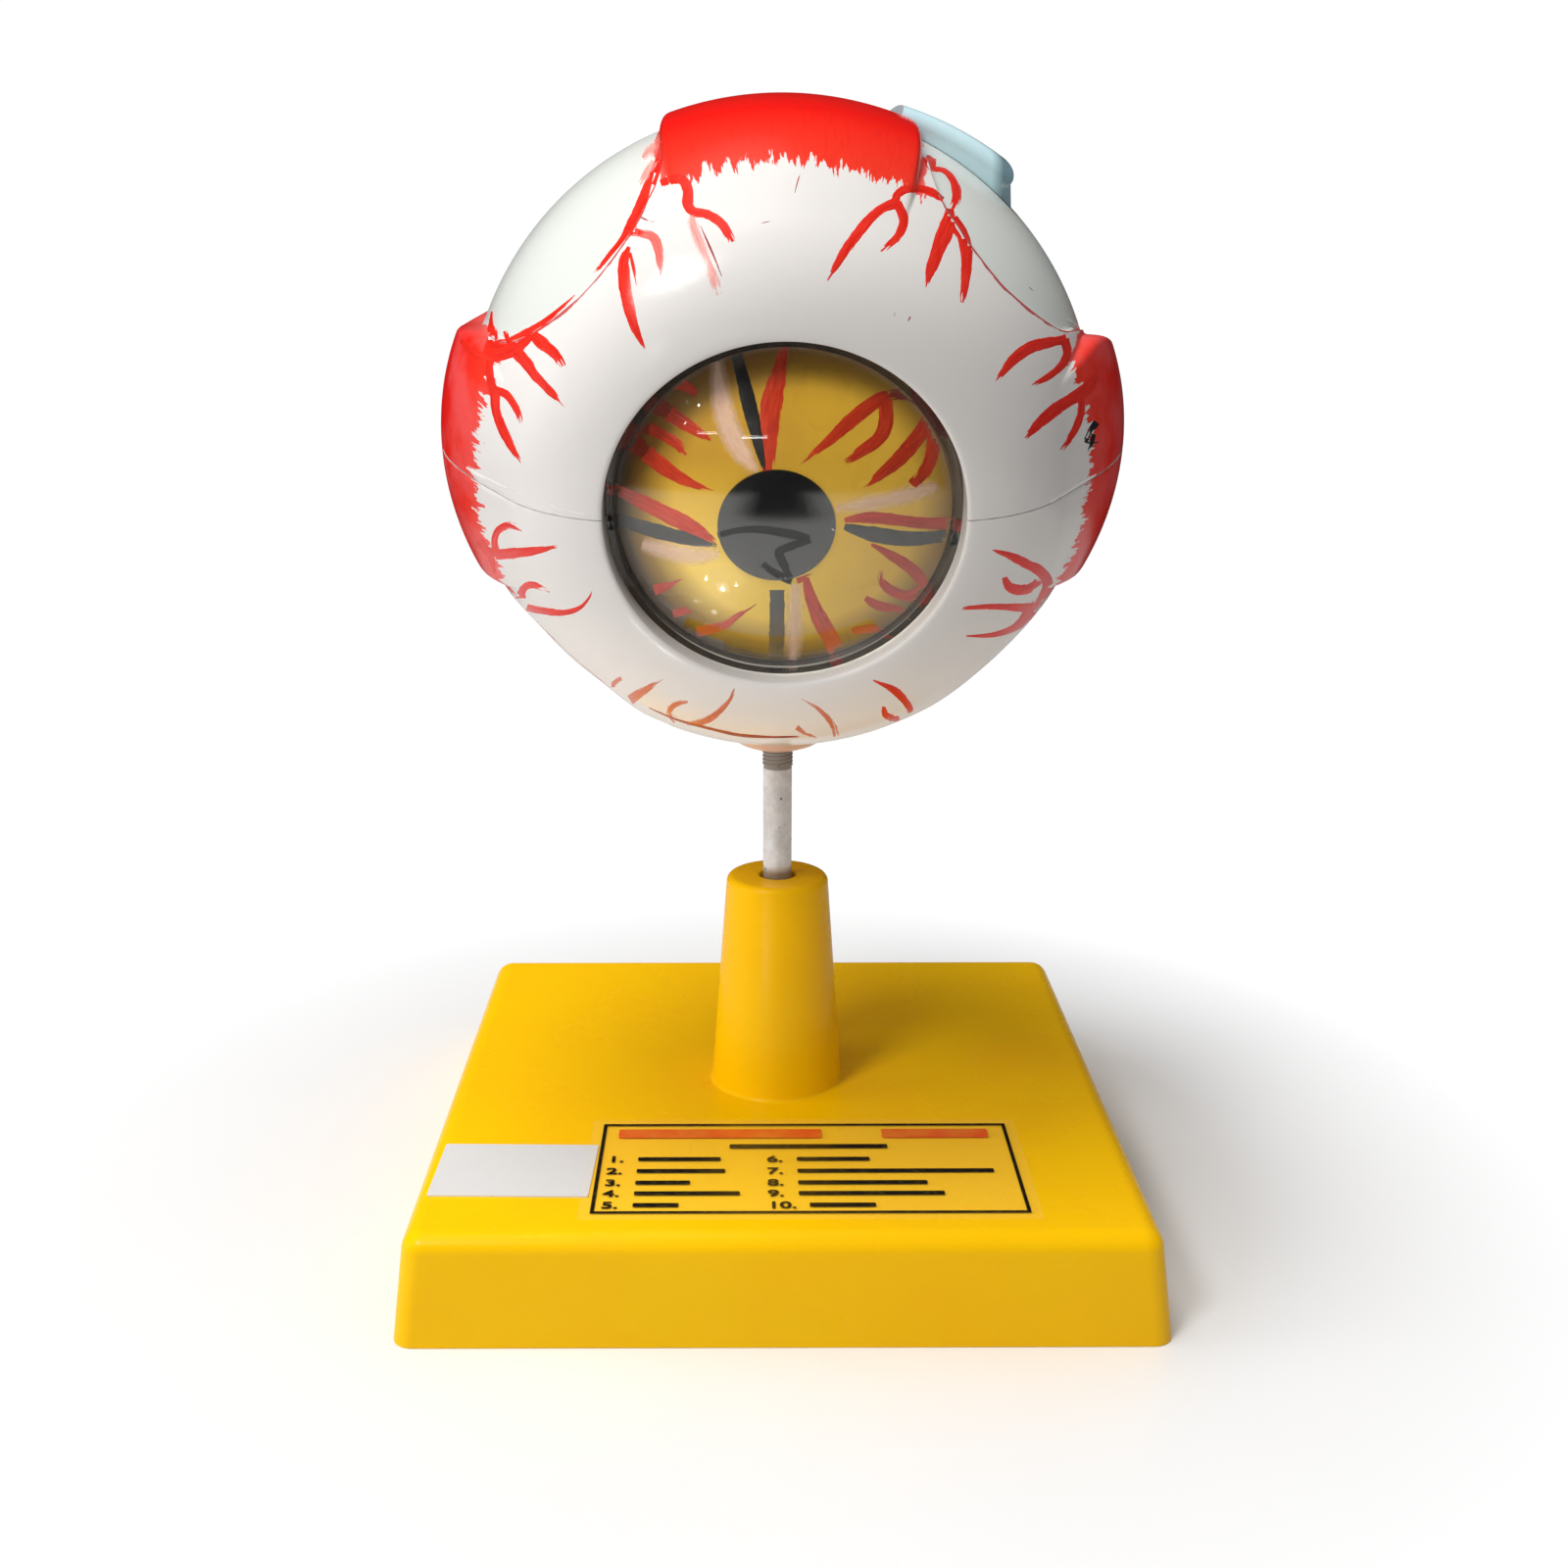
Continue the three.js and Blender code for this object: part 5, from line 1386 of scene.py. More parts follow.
def lay_stroke(mesh, surfaces, points, paint):
    """Adds a closed ribbon to a bmesh along a stroke, and notes where on the stroke each point is."""
    spot = layer(mesh.verts.layers.float_vector, "stroke_place")
    dryness = layer(mesh.verts.layers.float, "stroke_dry")
    path = eased(points)
    length = sum(math.dist(a[:2], b[:2]) for a, b in zip(path, path[1:])) / PX_PER_MM
    rows = []
    along_mm = 0
    start = brush.uniform(0, 500)
    for i, (x, y, width) in enumerate(path):
        before, after = path[max(i - 1, 0)], path[min(i + 1, len(path) - 1)]
        along = Vector((after[0] - before[0], after[1] - before[1]))
        along_mm += math.dist(before[:2], (x, y)) / PX_PER_MM
        if along.length < 1e-6:
            continue
        side = Vector((-along.y, along.x)).normalized()
        width = max(width, 0.12) * (1 + brush.uniform(-0.06, 0.06))
        half = width * PX_PER_MM / 2
        row = []
        for offset, height in RIBBON:
            hit = met_by(surfaces, x + side.x * half * offset, y + side.y * half * offset)
            if hit is None:
                break
            row.append((hit[0] + hit[1] * height * PAINT_THICK * MM, offset))
        if len(row) == len(RIBBON):
            verts = [mesh.verts.new(place) for place, _ in row]
            for vert, (_, offset) in zip(verts, row):
                vert[spot] = (offset * width / 2, start + along_mm, width)
                vert[dryness] = max(0, 1 - (length - along_mm) / DRY_END)
            rows.append(verts)
    close_ribbon(mesh, rows, paint)


def close_ribbon(mesh, rows, paint=0):
    """Joins the cross-sections of a ribbon by faces and closes its ends."""
    if len(rows) < 2:
        return
    size = len(RIBBON)
    for first, second in zip(rows, rows[1:]):
        for k in range(size):
            quad = (first[k], first[(k + 1) % size], second[(k + 1) % size], second[k])
            mesh.faces.new(quad).material_index = paint
    mesh.faces.new(rows[0]).material_index = paint
    mesh.faces.new(list(reversed(rows[-1]))).material_index = paint


def painted_strokes(name, surfaces, strokes, paints):
    """One piece from strokes that are listed by the name of their paint."""
    mesh = bmesh.new()
    for index, paint in enumerate(paints):
        for points in strokes.get(paint, []):
            lay_stroke(mesh, surfaces, points, index)
    return ribbon_piece(name, mesh, paints.values())


def ribbon_piece(name, mesh, paints):
    """An object from ribbons, dressed in its paints."""
    bmesh.ops.recalc_face_normals(mesh, faces=mesh.faces)
    data = bpy.data.meshes.new(name)
    mesh.to_mesh(data)
    mesh.free()
    piece = bpy.data.objects.new(name, data)
    bpy.context.scene.collection.objects.link(piece)
    for paint in paints:
        data.materials.append(paint)
    take(piece)
    bpy.ops.object.shade_smooth_by_angle(angle=math.radians(60))
    piece.visible_shadow = piece.visible_diffuse = False
    print(name, len(data.polygons), "faces")
    return piece


# %% [markdown]
# The paints: bright red for most vessels, a thin pink where the brush ran dry, orange at the bottom and
# black for the stripes. A brush leaves its bristles' tracks, most of all at the end of a stroke, so noise
# that is stretched along the stroke lightens the paint and eats into its edges and its dry end.

# %% Stroke paints
def stroke_paint(name, light, dark, roughness=0.3, soft_mm=0.1, ragged_mm=0.22, full=1.0, level=0.5):
    """Gloss brush paint with thick and thin places, ragged edges and a dry end."""
    made, tree, shader, place = new_material(name, roughness)
    fill(shader, {"Specular IOR Level": level})
    moulded_skin(tree, shader, place, rough=(roughness - 0.08, roughness + 0.08), peel_mm=0.8, strength=0.15)
    spot = add(tree, "Attribute", attribute_name="stroke_place", output="Vector")
    dry = add(tree, "Attribute", attribute_name="stroke_dry", output="Fac")
    across, _, width = add(tree, "SeparateXYZ", {0: spot}, output=None)
    drawn_out = add(tree, "Mapping", {"Vector": spot, "Scale": (2.4, 0.22, 0)})
    bristles = add(tree, "TexNoise", {"Vector": drawn_out, "Scale": 1.0, "Detail": 3})
    fill(shader, {"Base Color": blend(ramp(bristles, 0.35, 0.65), light, dark)})
    from_middle = add(tree, "Math", {0: across}, operation="ABSOLUTE")
    inside = add(tree, "Math", {0: width, 1: 0.5}, operation="MULTIPLY")
    inside = add(tree, "Math", {0: inside, 1: from_middle}, operation="SUBTRACT")
    tracks = ramp(bristles, 0.3, 0.7, -ragged_mm, ragged_mm / 2)
    kept = add(tree, "Math", {0: inside, 1: tracks}, operation="ADD")
    lost = ramp(bristles, 0.4, 0.6, 0.8, -0.1)
    lost = add(tree, "Math", {0: lost, 1: dry}, operation="MULTIPLY")
    kept = add(tree, "Math", {0: kept, 1: lost}, operation="SUBTRACT")
    fill(shader, {"Alpha": ramp(kept, -ragged_mm / 2, soft_mm - ragged_mm / 2, 0, full)})
    return made


shell_paints = {
    "red": stroke_paint("vessel_red_gloss", "f03424", "dd1e12"),
    "pink": stroke_paint("thin_pink_wash", "f09a90", "ea7268", soft_mm=0.7, full=0.8),
    "coral": stroke_paint("coral_wash", "ee6256", "e24438", soft_mm=0.3, full=0.9),
    "orange": stroke_paint("orange_red_wash", "e07046", "d95a36", soft_mm=0.3, full=0.9),
    "black": stroke_paint("black_brush_mark", "17181b", "2c2d30", ragged_mm=0.15),
    "dark": stroke_paint("dark_red_line", "b8302c", "8f1f22", ragged_mm=0.05, soft_mm=0.05),
    "chip": stroke_paint("chipped_white_edge", "f8f4f0", "e8e0da", roughness=0.5, ragged_mm=0.2),
}

# %% [markdown]
# The strokes on the white shell, listed from the photograph: each point is a pixel and a width in mm.

# %% Vessels on the upper half
UPPER_STROKES = {
    "red": [
        [(674, 187, 1.6), (688, 183, 2), (697, 184, 2.2), (702, 195, 2.3), (702, 209, 2.3), (708, 216, 2),
         (722, 219, 1.9), (735, 227, 2), (743, 238, 2), (747, 247, 1.4)],
        [(677, 146, 1.4), (670, 172, 1.8), (662, 191, 2.4), (652, 212, 2), (643, 231, 2), (634, 245, 1.2),
         (622, 260, 1), (611, 274, 0.8), (605, 280, 0.3)],
        [(641, 235, 2.2), (648, 236, 2), (656, 238, 1.8)],
        [(642, 252, 0.8), (637, 265, 2.2), (637, 285, 2.6), (641, 310, 2.4), (648, 335, 1.8), (655, 350, 0.9),
         (662, 366, 0.2)],
        [(643, 258, 0.6), (647, 276, 0.7), (650, 296, 0.2)],
        [(587, 301, 0.2), (575, 312, 0.7), (560, 325, 1.2), (545, 336, 1.8), (530, 346, 2.6), (517, 354, 3.4),
         (505, 357, 4), (494, 355, 3)],
        [(471, 347, 1.2), (479, 357, 1.2), (492, 364, 1.6), (506, 364, 2.2), (520, 360, 2.2), (533, 353, 2),
         (543, 343, 1.5)],
        [(502, 318, 0.4), (501, 328, 0.9), (502, 338, 2.4), (504, 350, 3)],
        [(515, 338, 0.8), (517, 346, 1.6), (518, 352, 2)],
        [(544, 342, 2.2), (553, 350, 2.6), (563, 358, 2.2), (570, 366, 1.8), (574, 374, 1.5)],
        [(526, 359, 2.6), (537, 370, 2.4), (547, 384, 2), (557, 395, 1.8), (566, 404, 1.4), (572, 411, 0.3),
         (579, 418, 0.15)],
        [(501, 364, 1.4), (500, 378, 1.5), (501, 392, 1.8), (505, 401, 2.2), (506, 418, 1.9), (512, 436, 2),
         (520, 452, 1.8), (527, 464, 1.2), (533, 473, 0.3)],
        [(505, 398, 1.8), (516, 402, 1.7), (524, 412, 1.5), (530, 424, 1.4), (531, 433, 0.6)],
        [(962, 204, 1.2), (950, 196, 1.8), (938, 193, 1.7), (924, 193, 1.9), (915, 199, 2.2), (914, 208, 2.4)],
        [(915, 207, 2.2), (900, 213, 2), (887, 224, 2.1), (874, 240, 2.1), (861, 258, 1.9), (852, 273, 1.3),
         (843, 288, 0.2)],
        [(915, 207, 2), (922, 222, 2.1), (920, 234, 1.9), (914, 244, 1.6), (906, 251, 1.4), (899, 257, 0.8)],
        [(944, 161, 1.6), (950, 166, 2.6), (952, 172, 1.4), (963, 174, 1.1), (972, 183, 1.6), (976, 195, 2),
         (975, 206, 1.8), (970, 215, 1.2)],
        [(969, 213, 1.6), (968, 226, 3), (963, 240, 3.6), (957, 256, 3), (951, 272, 2.4), (947, 284, 1.5),
         (943, 299, 0.2)],
        [(952, 262, 1.6), (947, 272, 0.9), (943, 283, 0.2)],
        [(971, 224, 2.8), (982, 240, 2.6), (986, 256, 2.6), (986, 275, 2.2), (984, 292, 1.8), (982, 309, 0.9)],
        [(1088, 346, 2.2), (1077, 348, 2), (1067, 350, 2.4), (1055, 353, 2.6), (1044, 359, 2.5), (1033, 368, 2.2),
         (1024, 379, 1.5), (1012, 394, 0.2)],
        [(1086, 346, 2), (1089, 360, 1.8), (1083, 373, 1.6), (1073, 382, 1.4), (1062, 389, 1.2), (1053, 393, 0.8)],
        [(1116, 383, 2), (1111, 394, 2.6), (1102, 402, 2.6), (1090, 409, 2.6), (1078, 417, 2.6), (1066, 427, 2.4),
         (1054, 438, 1.8), (1046, 447, 0.8)],
        [(1102, 404, 1.8), (1103, 420, 1.6), (1098, 436, 1.5), (1091, 448, 1.4), (1082, 459, 1)],
    ],
    "pink": [
        [(706, 220, 1.4), (708, 232, 2.4), (717, 256, 2.2), (728, 283, 2.2), (733, 301, 1.2)],
        [(672, 143, 1.4), (664, 154, 2.4), (657, 162, 1.6)],
        [(668, 165, 1.8), (660, 178, 2.2), (654, 189, 1.2)],
    ],
    "coral": [
        [(648, 236, 2), (655, 238, 1.8), (667, 243, 2.2), (672, 256, 2), (674, 270, 1.6), (675, 284, 0.6)],
    ],
    "dark": [
        [(715, 231, 0.2), (726, 256, 0.45), (737, 283, 0.15)],
        [(654, 222, 0.4), (660, 225, 0.5), (668, 226, 0.2)],
        [(811, 197, 0.12), (815, 182, 0.3), (823, 165, 0.15)],
        [(776, 228, 0.12), (781, 227, 0.25), (787, 226, 0.12)],
        [(910, 326, 0.2), (912, 321, 0.5), (913, 318, 0.2)],
        [(926, 328, 0.15), (928, 325, 0.35), (929, 323, 0.15)],
        [(1050, 293, 0.1), (1058, 301, 0.25), (1066, 309, 0.1)],
    ],
    "chip": [
        [(476, 477, 0.3), (487, 484, 0.7), (496, 488, 0.5), (509, 494, 0.35), (522, 500, 0.5), (532, 504, 0.3)],
        [(545, 509, 0.2), (565, 517, 0.4), (582, 522, 0.25), (599, 525, 0.3), (612, 528, 0.2)],
    ],
    "black": [
        [(1119, 431, 1.5), (1113, 439, 1.1), (1108, 449, 0.9)],
        [(1107, 449, 1), (1113, 451, 1), (1120, 450, 0.9)],
        [(1116, 443, 1), (1113, 453, 1), (1108, 463, 0.8)],
        [(1018, 412, 0.3), (1019, 413, 0.35)],
    ],
}

# %% Vessels on the lower half
LOWER_STROKES = {
    "red": [
        [(507, 566, 1.8), (505, 552, 1.5), (509, 541, 1.5), (520, 536, 1.6), (533, 541, 0.5)],
        [(506, 566, 2.2), (532, 564, 2.2), (552, 561, 1.4), (577, 556, 0.2)],
        [(489, 551, 1.4), (497, 562, 2), (506, 567, 2.2)],
        [(501, 570, 1.4), (503, 577, 1), (505, 585, 0.3)],
        [(532, 615, 2.6), (532, 605, 1.8), (537, 598, 1.5), (546, 597, 1.4), (561, 604, 0.4)],
        [(527, 612, 1.2), (535, 618, 1.6), (553, 623, 1.6), (575, 625, 1.3), (592, 620, 0.9), (602, 609, 0.5),
         (604, 602, 0.2)],
        [(1012, 561, 0.2), (1030, 567, 1.6), (1047, 575, 2), (1060, 582, 2.2), (1068, 592, 2.4), (1068, 604, 2.4),
         (1062, 615, 2.4), (1052, 622, 2.2)],
        [(1025, 589, 1), (1029, 598, 2), (1039, 602, 2.2), (1050, 600, 2), (1061, 592, 1.4)],
        [(1055, 621, 2.4), (1040, 620, 1.8), (1015, 619, 1.2), (990, 620, 0.9), (972, 622, 0.2)],
        [(1052, 622, 2.4), (1043, 634, 2), (1032, 642, 1.4), (1012, 648, 1.1), (986, 649, 0.3)],
        [(891, 694, 0.3), (912, 704, 1.5), (924, 716, 1.8), (930, 726, 1.8)],
        [(902, 721, 0.9), (903, 729, 1.5), (913, 733, 1.4), (926, 729, 1.3)],
    ],
    "orange": [
        [(634, 692, 1), (626, 697, 1.4), (626, 705, 1.3), (632, 710, 0.6)],
        [(643, 714, 2.2), (655, 706, 1.8), (668, 698, 1), (678, 691, 0.2)],
        [(702, 716, 0.6), (688, 719, 1.4), (683, 727, 1.4), (690, 736, 1.2)],
        [(701, 738, 0.8), (717, 736, 1.6), (733, 727, 1.5), (745, 713, 0.9), (751, 698, 0.2)],
        [(818, 713, 0.2), (836, 724, 0.9), (848, 738, 1.5), (853, 751, 1.6)],
        [(813, 742, 1.2), (821, 748, 0.9), (833, 753, 0.4)],
    ],
    "black": [
        [(1095, 545, 0.3), (1096, 542, 0.4)],
    ],
    "dark": [
        [(662, 722, 0.2), (690, 734, 0.5), (723, 743, 0.6), (755, 750, 0.7), (790, 752, 0.5), (830, 751, 0.3)],
    ],
}
shell_surfaces = [surface_of(shell_upper), surface_of(shell_lower)]
vessels_upper = painted_strokes("vessels_upper", shell_surfaces[:1], UPPER_STROKES, shell_paints)
vessels_lower = painted_strokes("vessels_lower", shell_surfaces[1:], LOWER_STROKES, shell_paints)
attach(vessels_upper, "eye_upper")
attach(vessels_lower, "eye_lower")

# %% [markdown]
# On the iris, four groups of stripes in black, red and pink run from the pupil to the rim at the hours of a
# clock, with vessels between them. They sit on the iris itself, behind the clear dome.

# %% Stripes and vessels on the iris
iris_paints = {
    "pink": stroke_paint("iris_pink", "f0cfc2", "e6beb0", soft_mm=1.6, ragged_mm=0.04, full=0.75, level=0.1),
    "red": stroke_paint("iris_red", "d8401e", "bc2c12"),
    "black": stroke_paint("iris_black", "1c1c1e", "2a2928", roughness=0.2, level=1.0),
    "brown": stroke_paint("iris_brown_red", "9c2e14", "80240e"),
}
IRIS_STROKES = {
    "pink": [
        [(732, 364, 3), (734, 388, 4.2), (737, 410, 5), (745, 438, 5.6), (757, 461, 5.2), (772, 481, 3)],
        [(657, 553, 3.2), (680, 560, 4.8), (708, 565, 4.6), (735, 563, 3.4)],
        [(852, 518, 2.4), (880, 514, 4), (914, 507, 4.4), (944, 498, 4.4), (956, 495, 2.8)],
        [(812, 594, 3.4), (811, 620, 4.4), (810, 646, 4.4), (809, 672, 3.8)],
    ],
    "red": [
        [(800, 351, 2), (797, 372, 2.6), (791, 396, 4), (787, 415, 4.4), (785, 435, 4), (784, 455, 3.4),
         (784, 480, 2.6)],
        [(619, 492, 1.2), (646, 506, 2.6), (676, 521, 3.2), (702, 534, 3.2), (720, 545, 2.2), (732, 553, 0.6)],
        [(861, 530, 1), (886, 527, 2.4), (919, 530, 2.4), (950, 533, 2.4), (983, 531, 2.4)],
        [(822, 588, 1.4), (827, 608, 2.4), (837, 631, 3.4), (849, 653, 3.4), (852, 674, 2)],
        [(813, 591, 1.2), (822, 588, 1.2), (832, 583, 0.3)],
        [(682, 391, 2), (700, 394, 2.6), (712, 402, 1.8)],
        [(684, 422, 3.4), (707, 437, 2.4), (722, 446, 1.4), (731, 451, 0.2)],
        [(664, 437, 2.4), (682, 446, 2.2), (694, 455, 2.2), (701, 464, 1.2)],
        [(661, 462, 3.6), (684, 480, 3), (707, 493, 1.8), (729, 500, 0.2)],
        [(906, 404, 2.6), (891, 411, 3), (868, 429, 3), (845, 450, 2), (830, 462, 1.2), (815, 474, 0.2)],
        [(902, 408, 3), (903, 430, 3), (896, 447, 2.8), (877, 461, 2.2), (862, 471, 1.4)],
        [(948, 426, 3), (934, 447, 3.2), (916, 468, 3), (896, 485, 2), (880, 499, 0.2)],
        [(951, 438, 3.4), (950, 460, 2.8), (943, 479, 2.6), (930, 495, 2.8)],
        [(888, 554, 0.6), (906, 564, 1.8), (925, 576, 2.4), (938, 589, 2.4), (938, 600, 2.4), (926, 606, 2.2),
         (911, 602, 2.2), (899, 592, 1.8), (897, 581, 1.2)],
        [(882, 608, 1.2), (896, 616, 2), (922, 620, 1.2)],
        [(868, 641, 1.2), (886, 639, 1.8), (906, 638, 0.6)],
        [(669, 600, 2.4), (682, 596, 1.6), (698, 589, 0.2)],
        [(688, 624, 1.6), (700, 621, 1.6), (713, 619, 0.4)],
        [(712, 642, 2.2), (738, 636, 1.8), (753, 626, 1.2), (772, 614, 0.2)],
    ],
    "brown": [
        [(644, 396, 3), (661, 406, 3.8), (684, 422, 3.2)],
        [(630, 437, 4), (645, 437, 3.6), (664, 437, 2.6)],
        [(628, 436, 4), (638, 444, 4.4), (661, 462, 3.4)],
        [(961, 440, 4), (957, 432, 4), (942, 411, 3.6), (926, 402, 2.8), (906, 404, 2.4)],
    ],
    "black": [
        [(750, 356, 2.3), (757, 381, 2.6), (763, 406, 3), (769, 430, 2.9), (775, 452, 2.6), (779, 470, 1.8),
         (780, 481, 0.9)],
        [(617, 525, 2.4), (651, 535, 2.8), (684, 544, 3), (710, 550, 2.4), (732, 556, 0.7)],
        [(861, 536, 1.4), (886, 543, 3), (919, 548, 3.2), (950, 547, 2.6), (983, 541, 2.4)],
        [(793, 600, 3), (793, 633, 3.2), (792, 659, 3.2), (791, 681, 2.8)],
    ],
}
iris_painting = painted_strokes("iris_painting", [surface_of(iris)], IRIS_STROKES, iris_paints)
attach(iris_painting, "iris")

pupil_paints = {
    "line": stroke_paint("matt_black_line", "060607", "0c0c0d", roughness=0.7, ragged_mm=0.02, level=0.05),
    # White chips on the pupil's edge: real chipped paint at its left, a painted highlight on its raised rim at its
    # right.
    "chip": stroke_paint("white_chip_and_rim_highlight", "d8d4cc", "ece8e0", roughness=0.5, ragged_mm=0.1),
}
PUPIL_STROKES = {
    "line": [
        [(733, 545, 1.3), (753, 540, 1.3), (775, 539, 1.6), (798, 542, 1.9), (813, 545, 1.9), (826, 549, 2.1)],
        [(826, 548, 2.1), (812, 554, 1.8), (797, 560, 1.8), (795, 564, 1.9), (800, 575, 1.9), (808, 589, 2.1)],
        [(808, 590, 2.1), (799, 587, 1.8), (778, 575, 1.8)],
    ],
    # The last two chips, on the pupil's right rim, are painted highlight.
    "chip": [
        [(734, 551, 0.35), (736, 555, 0.5)],
        [(848, 523, 0.5), (850, 525, 0.3)],
        [(849, 538, 0.5), (851, 540, 0.3)],
    ],
}
pupil_mark = painted_strokes("pupil_mark", [surface_of(pupil), surface_of(iris)], PUPIL_STROKES, pupil_paints)
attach(pupil_mark, "iris")

# %% [markdown]
# ## Vessels in the retina
# Red vessels spread from the blind spot over the inside of the cups and fork as they go. They follow no
# photograph, so they are grown: each walks over the sphere with small turns to the sides, gets thinner, and
# sends out a branch now and then. The seeded random numbers give the same tree each time.

# %% Grow the vessels
VESSEL_STEP, VESSEL_LIFT, VESSEL_TAPER, VESSEL_WANDER = 0.02, 0.12, 0.75, 0.12
VESSEL_ANGLES = (-70, -45, -20, 20, 45, 70)
SEAM_CLEAR, VESSEL_FRONT = 0.022, 0.4
BRANCH_EVERY, BRANCH_TURN, BRANCH_THIN, BRANCH_SHORT = 9, (0.45, 0.8), 0.7, 0.8
grower = random.Random(11)


def grow_vessel(mesh, half, spot, heading, width, steps):
    """Walks from one direction of the ball towards another and lays a ribbon inside the cup."""
    rows = []
    for step in range(steps):
        thin = width * (1 - VESSEL_TAPER * step / steps)
        side = spot.cross(heading).normalized()
        if spot.dot(EYE_UP) * half > SEAM_CLEAR and spot.dot(FORWARD) < VESSEL_FRONT:
            row = [spot * (RETINA - max(height, -1) * VESSEL_LIFT) + side * offset * thin / 2
                   for offset, height in RIBBON]
            rows.append([mesh.verts.new(EYE + point * MM) for point in row])
        elif rows:
            break
        if step % BRANCH_EVERY == 5 and width > 0.35:
            turn = grower.choice((-1, 1)) * grower.uniform(*BRANCH_TURN)
            branch = (heading + side * turn).normalized()
            left = int((steps - step) * BRANCH_SHORT)
            grow_vessel(mesh, half, spot.copy(), branch, thin * BRANCH_THIN, left)
        spot = (spot + heading * VESSEL_STEP).normalized()
        heading = heading + side * grower.uniform(-VESSEL_WANDER, VESSEL_WANDER)
        heading = (heading - spot * heading.dot(spot)).normalized()
    close_ribbon(mesh, rows)


vessel_red = brush_painted("retina_vessel_red", "c8342a", "9c1f1c", 0.35, stroke_mm=1.5)
for half, body, name in ((1, "eye_upper", "retina_vessels_top"), (-1, "eye_lower", "retina_vessels_bottom")):
    tree_mesh = bmesh.new()
    for angle in VESSEL_ANGLES:
        outward = EYE_UP * half * math.cos(math.radians(angle)) + X_AXIS * math.sin(math.radians(angle))
        start = (NERVE_BACK + outward * 0.12).normalized()
        outward = (outward - start * outward.dot(start)).normalized()
        grow_vessel(tree_mesh, half, start, outward, grower.uniform(0.8, 1.2), 75)
    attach(ribbon_piece(name, tree_mesh, [vessel_red]), body)

# %% [markdown]
# ## Floor and light
# The photograph has a plain white ground and a dark room behind the camera: the clear cornea mirrors the
# bright table in its lower half, with a dark shape in the middle of it where somebody stands, and almost
# nothing above. So the object stands on a plain pale board, which is seen as plain white away from the
# object, as if it swept up behind. What the camera sees directly or through clear plastic, what lights the
# object softly, and what glossy faces mirror are three kinds of ray, and each may be given its own
# brightness, as a photographer does with white and black cloths.

# %% Floor
SEEN_NEAR, SEEN_FAR = 0.105, 0.18
TABLE_NEAR, TABLE_FAR, TABLE_WIDE = 0.42, 0.47, 0.8
ONLOOKER_SIDES, ONLOOKER_FRONT = (0.05, 0.11), (-0.29, -0.33)
SOFT_LIGHT, MIRRORED = 0.28, 0.02


def by_ray(tree):
    """Whether the camera sees it, and how bright it is: white then, or dim for soft light, or dark."""
    path = add(tree, "LightPath", output=None)
    diffuse = path["Diffuse Depth"]
    after_diffuse = add(tree, "Math", {0: diffuse, 1: 1.0}, operation="MINIMUM")
    shares = {0: after_diffuse, 1: SOFT_LIGHT - MIRRORED, 2: MIRRORED}
    soft = add(tree, "Math", shares, operation="MULTIPLY_ADD")
    turns = add(tree, "Math", {0: diffuse, 1: path["Glossy Depth"]})
    straight = add(tree, "Math", {0: turns, 1: 0.5}, operation="LESS_THAN")
    bent = {0: path["Is Transmission Ray"], 1: straight}
    bent = add(tree, "Math", bent, operation="MULTIPLY")
    seen = add(tree, "Math", {0: path["Is Camera Ray"], 1: bent}, operation="MAXIMUM")
    return seen, add(tree, "Math", {0: seen, 1: soft}, operation="ADD")


FLOOR_RADIUS, FLOOR_LEVEL = 12, -0.0001
take()
bpy.ops.mesh.primitive_circle_add(vertices=96, radius=FLOOR_RADIUS, fill_type="NGON", location=(0, 0, FLOOR_LEVEL))
floor = named("studio_floor")
pale_board, tree, shader, place = new_material("pale_satin_board", 0.3)
fleck = add(tree, "TexNoise", {"Vector": place, "Scale": per_mm(60), "Detail": 2})
distance = add(tree, "VectorMath", {0: place}, operation="LENGTH", output="Value")
is_seen, brightness = by_ray(tree)
board_white = blend(fleck, "eeeeee", "f3f3f3")
fill(shader, {"Base Color": blend(is_seen, "d9d9d9", board_white)})
far_board = add(tree, "Emission", {"Color": linear("ffffff"), "Strength": brightness})
for_camera = ramp(distance, SEEN_NEAR, SEEN_FAR)
widened = add(tree, "VectorMath", {0: place, 1: (TABLE_WIDE, 1, 1)}, operation="MULTIPLY")
from_table = add(tree, "VectorMath", {0: widened}, operation="LENGTH", output="Value")
on_floor = add(tree, "SeparateXYZ", {0: place}, output=None)
beside = add(tree, "Math", {0: on_floor[0]}, operation="ABSOLUTE")
sides, front = ramp(beside, *ONLOOKER_SIDES, 1, 0), ramp(on_floor[1], *ONLOOKER_FRONT)
onlooker = add(tree, "Math", {0: sides, 1: front}, operation="MULTIPLY")
off_table = ramp(from_table, TABLE_NEAR, TABLE_FAR)
for_object = add(tree, "Math", {0: off_table, 1: onlooker}, operation="MAXIMUM")
reach = add(tree, "Mix", {0: is_seen, 2: for_object, 3: for_camera})
lit = add(tree, "MixShader", {0: reach, 1: shader.outputs[0], 2: far_board})
fill(tree.nodes["Material Output"], {"Surface": lit})
floor.data.materials.append(pale_board)

# %% [markdown]
# The lamps follow the highlights of the photograph: a key lamp at the upper left front, a large soft one
# overhead and a weak fill low on the left that glossy faces don't mirror, and two thin strips far in front
# that leave the fine lines above the pupil. The small bright spots on the cornea are mirror images of tiny
# lamps: each stands where the line of sight of its spot goes after the cornea has turned it back.

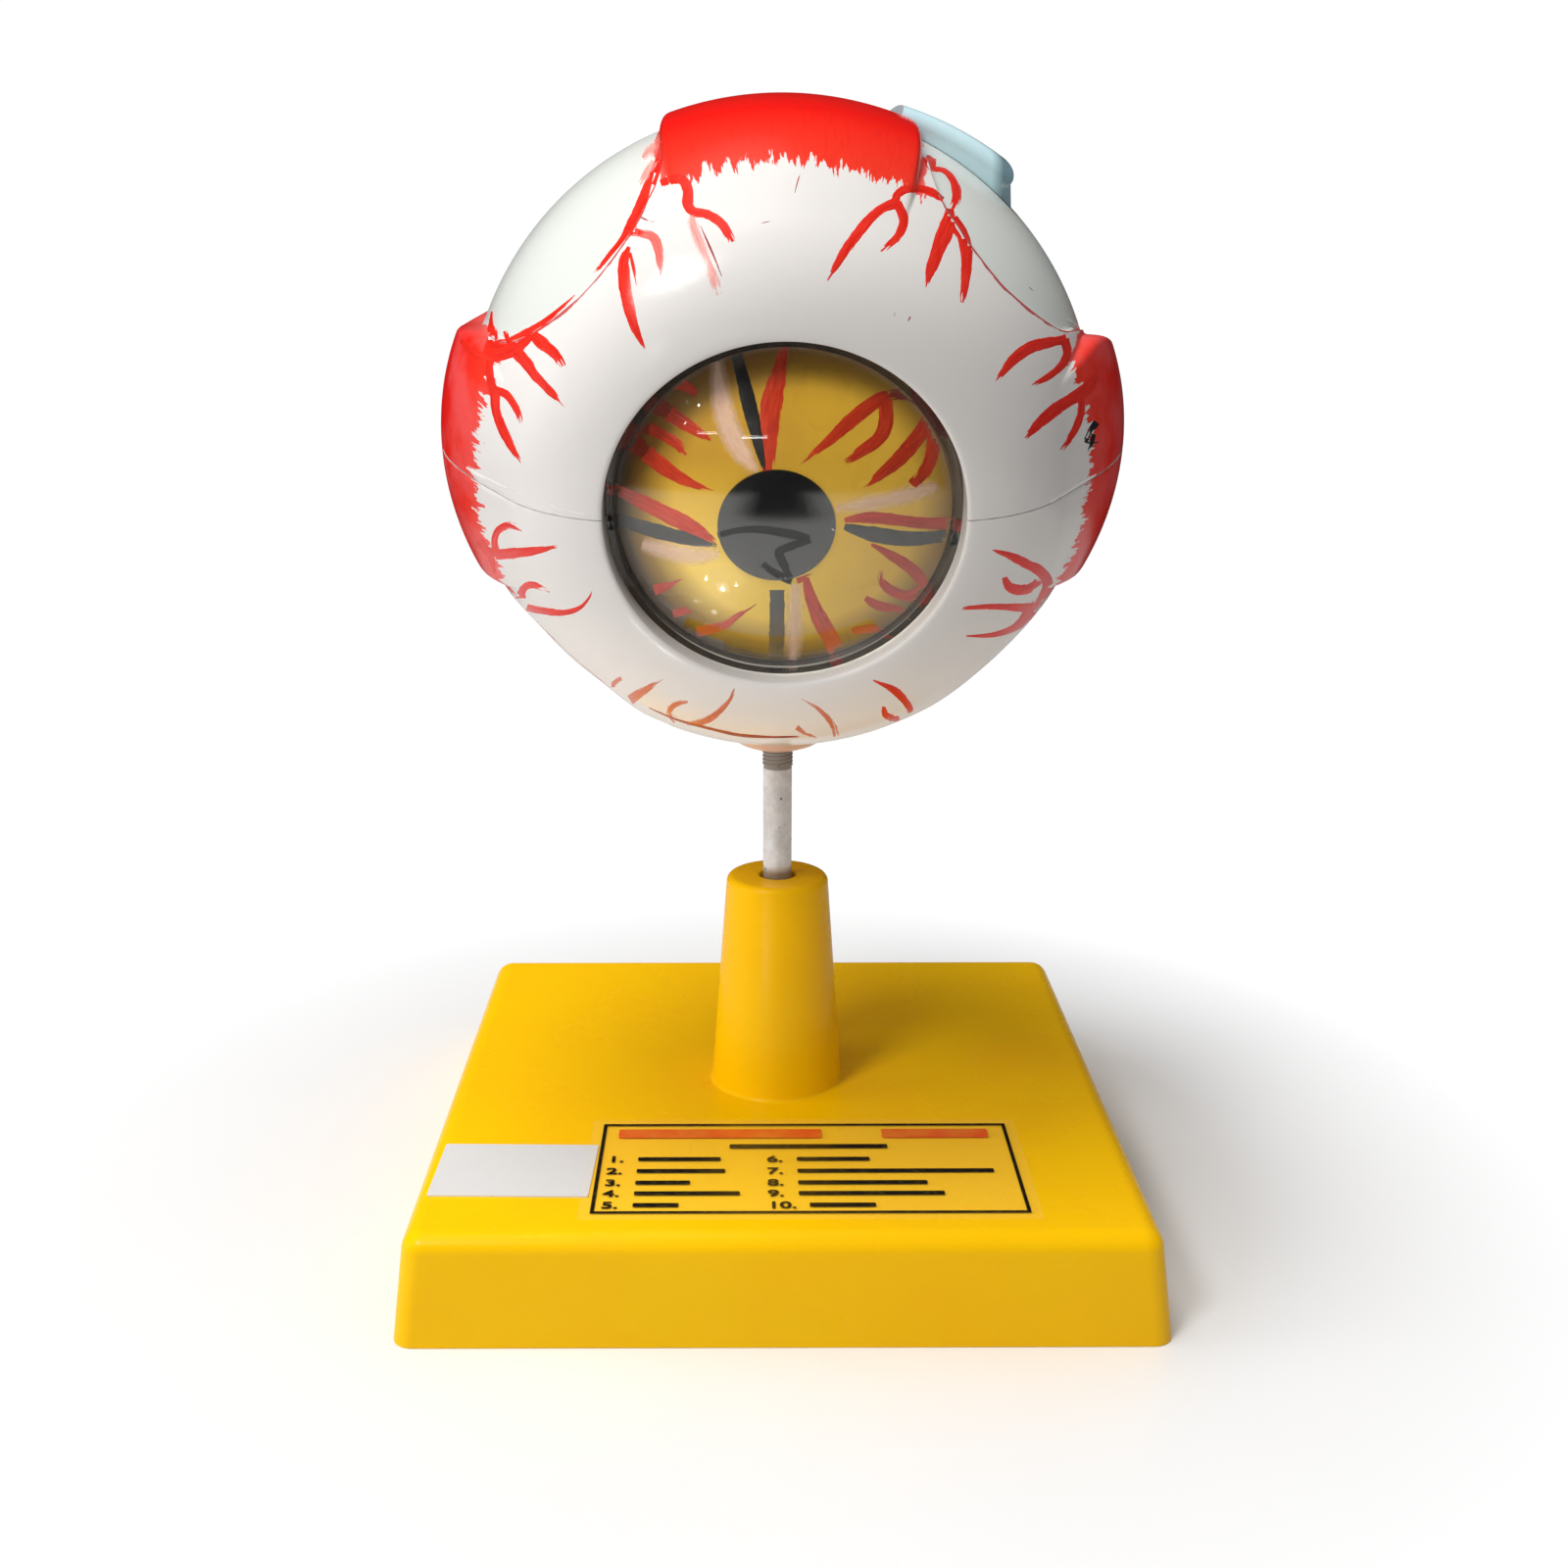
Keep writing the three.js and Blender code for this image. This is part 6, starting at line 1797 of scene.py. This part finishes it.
# %% Lamps
def soft_lamp(name, place, size, watts, colour="ffffff", depth=None, mirrored=True, target=EYE):
    """A soft rectangular lamp that faces the eye."""
    light_data = bpy.data.lights.new(name, "AREA")
    light_data.shape = "RECTANGLE"
    light_data.size = size
    light_data.size_y = depth or size
    light_data.energy = watts
    light_data.color = linear(colour)[:3]
    lamp = bpy.data.objects.new(name, light_data)
    bpy.context.scene.collection.objects.link(lamp)
    lamp.visible_glossy = mirrored
    lamp.location = place
    lamp.rotation_euler = (target - Vector(place)).to_track_quat("-Z", "Y").to_euler()
    lamp.visible_camera = False


def glint(name, surface, x, y, size, watts):
    """A lamp whose mirror image on a surface is seen at a pixel of the photograph."""
    spot, normal = met_by([surface], x, y)[:2]
    place = spot + sight_line(x, y).reflect(normal) * GLINT_AWAY
    print(name, [round(value, 3) for value in place])
    soft_lamp(name, place, size, watts, target=spot)


soft_lamp("key_lamp", (-0.55, -0.66, 0.96), 0.3, 5.8, "fffdfa")
soft_lamp("top_lamp", (-0.2, -0.12, 1.3), 0.5, 9.4, mirrored=False)
soft_lamp("low_fill", (-1, -0.1, 0.25), 0.4, 3.2, mirrored=False)
soft_lamp("strip_a", (-0.26, -1.55, 0.1), 0.24, 0.17, depth=0.01)
soft_lamp("strip_b", (-0.7, -1.45, 0.13), 0.2, 0.1, depth=0.008)
GLINT_AWAY, GLINT_WATTS = 0.12, 0.0006
GLINTS = ((722, 591, 2), (737, 603, 3), (751, 599, 1.5), (713, 416, 1.5), (699, 431, 0.8))
cornea_surface = surface_of(cornea)
glint("glint_glow", cornea_surface, 737, 602, 10 * MM, 0.0004)
for index, (x, y, size) in enumerate(GLINTS):
    glint(f"glint_{index}", cornea_surface, x, y, size * MM, GLINT_WATTS * size**2)

# %% Sky
world = bpy.data.worlds.new("pale_studio")
bpy.context.scene.world = world
world.use_nodes = True
sky = world.node_tree
is_seen, brightness = by_ray(sky)
fill(sky.nodes["Background"], {"Color": linear("ffffff"), "Strength": brightness})
bpy.context.scene.view_settings.view_transform = "Standard"
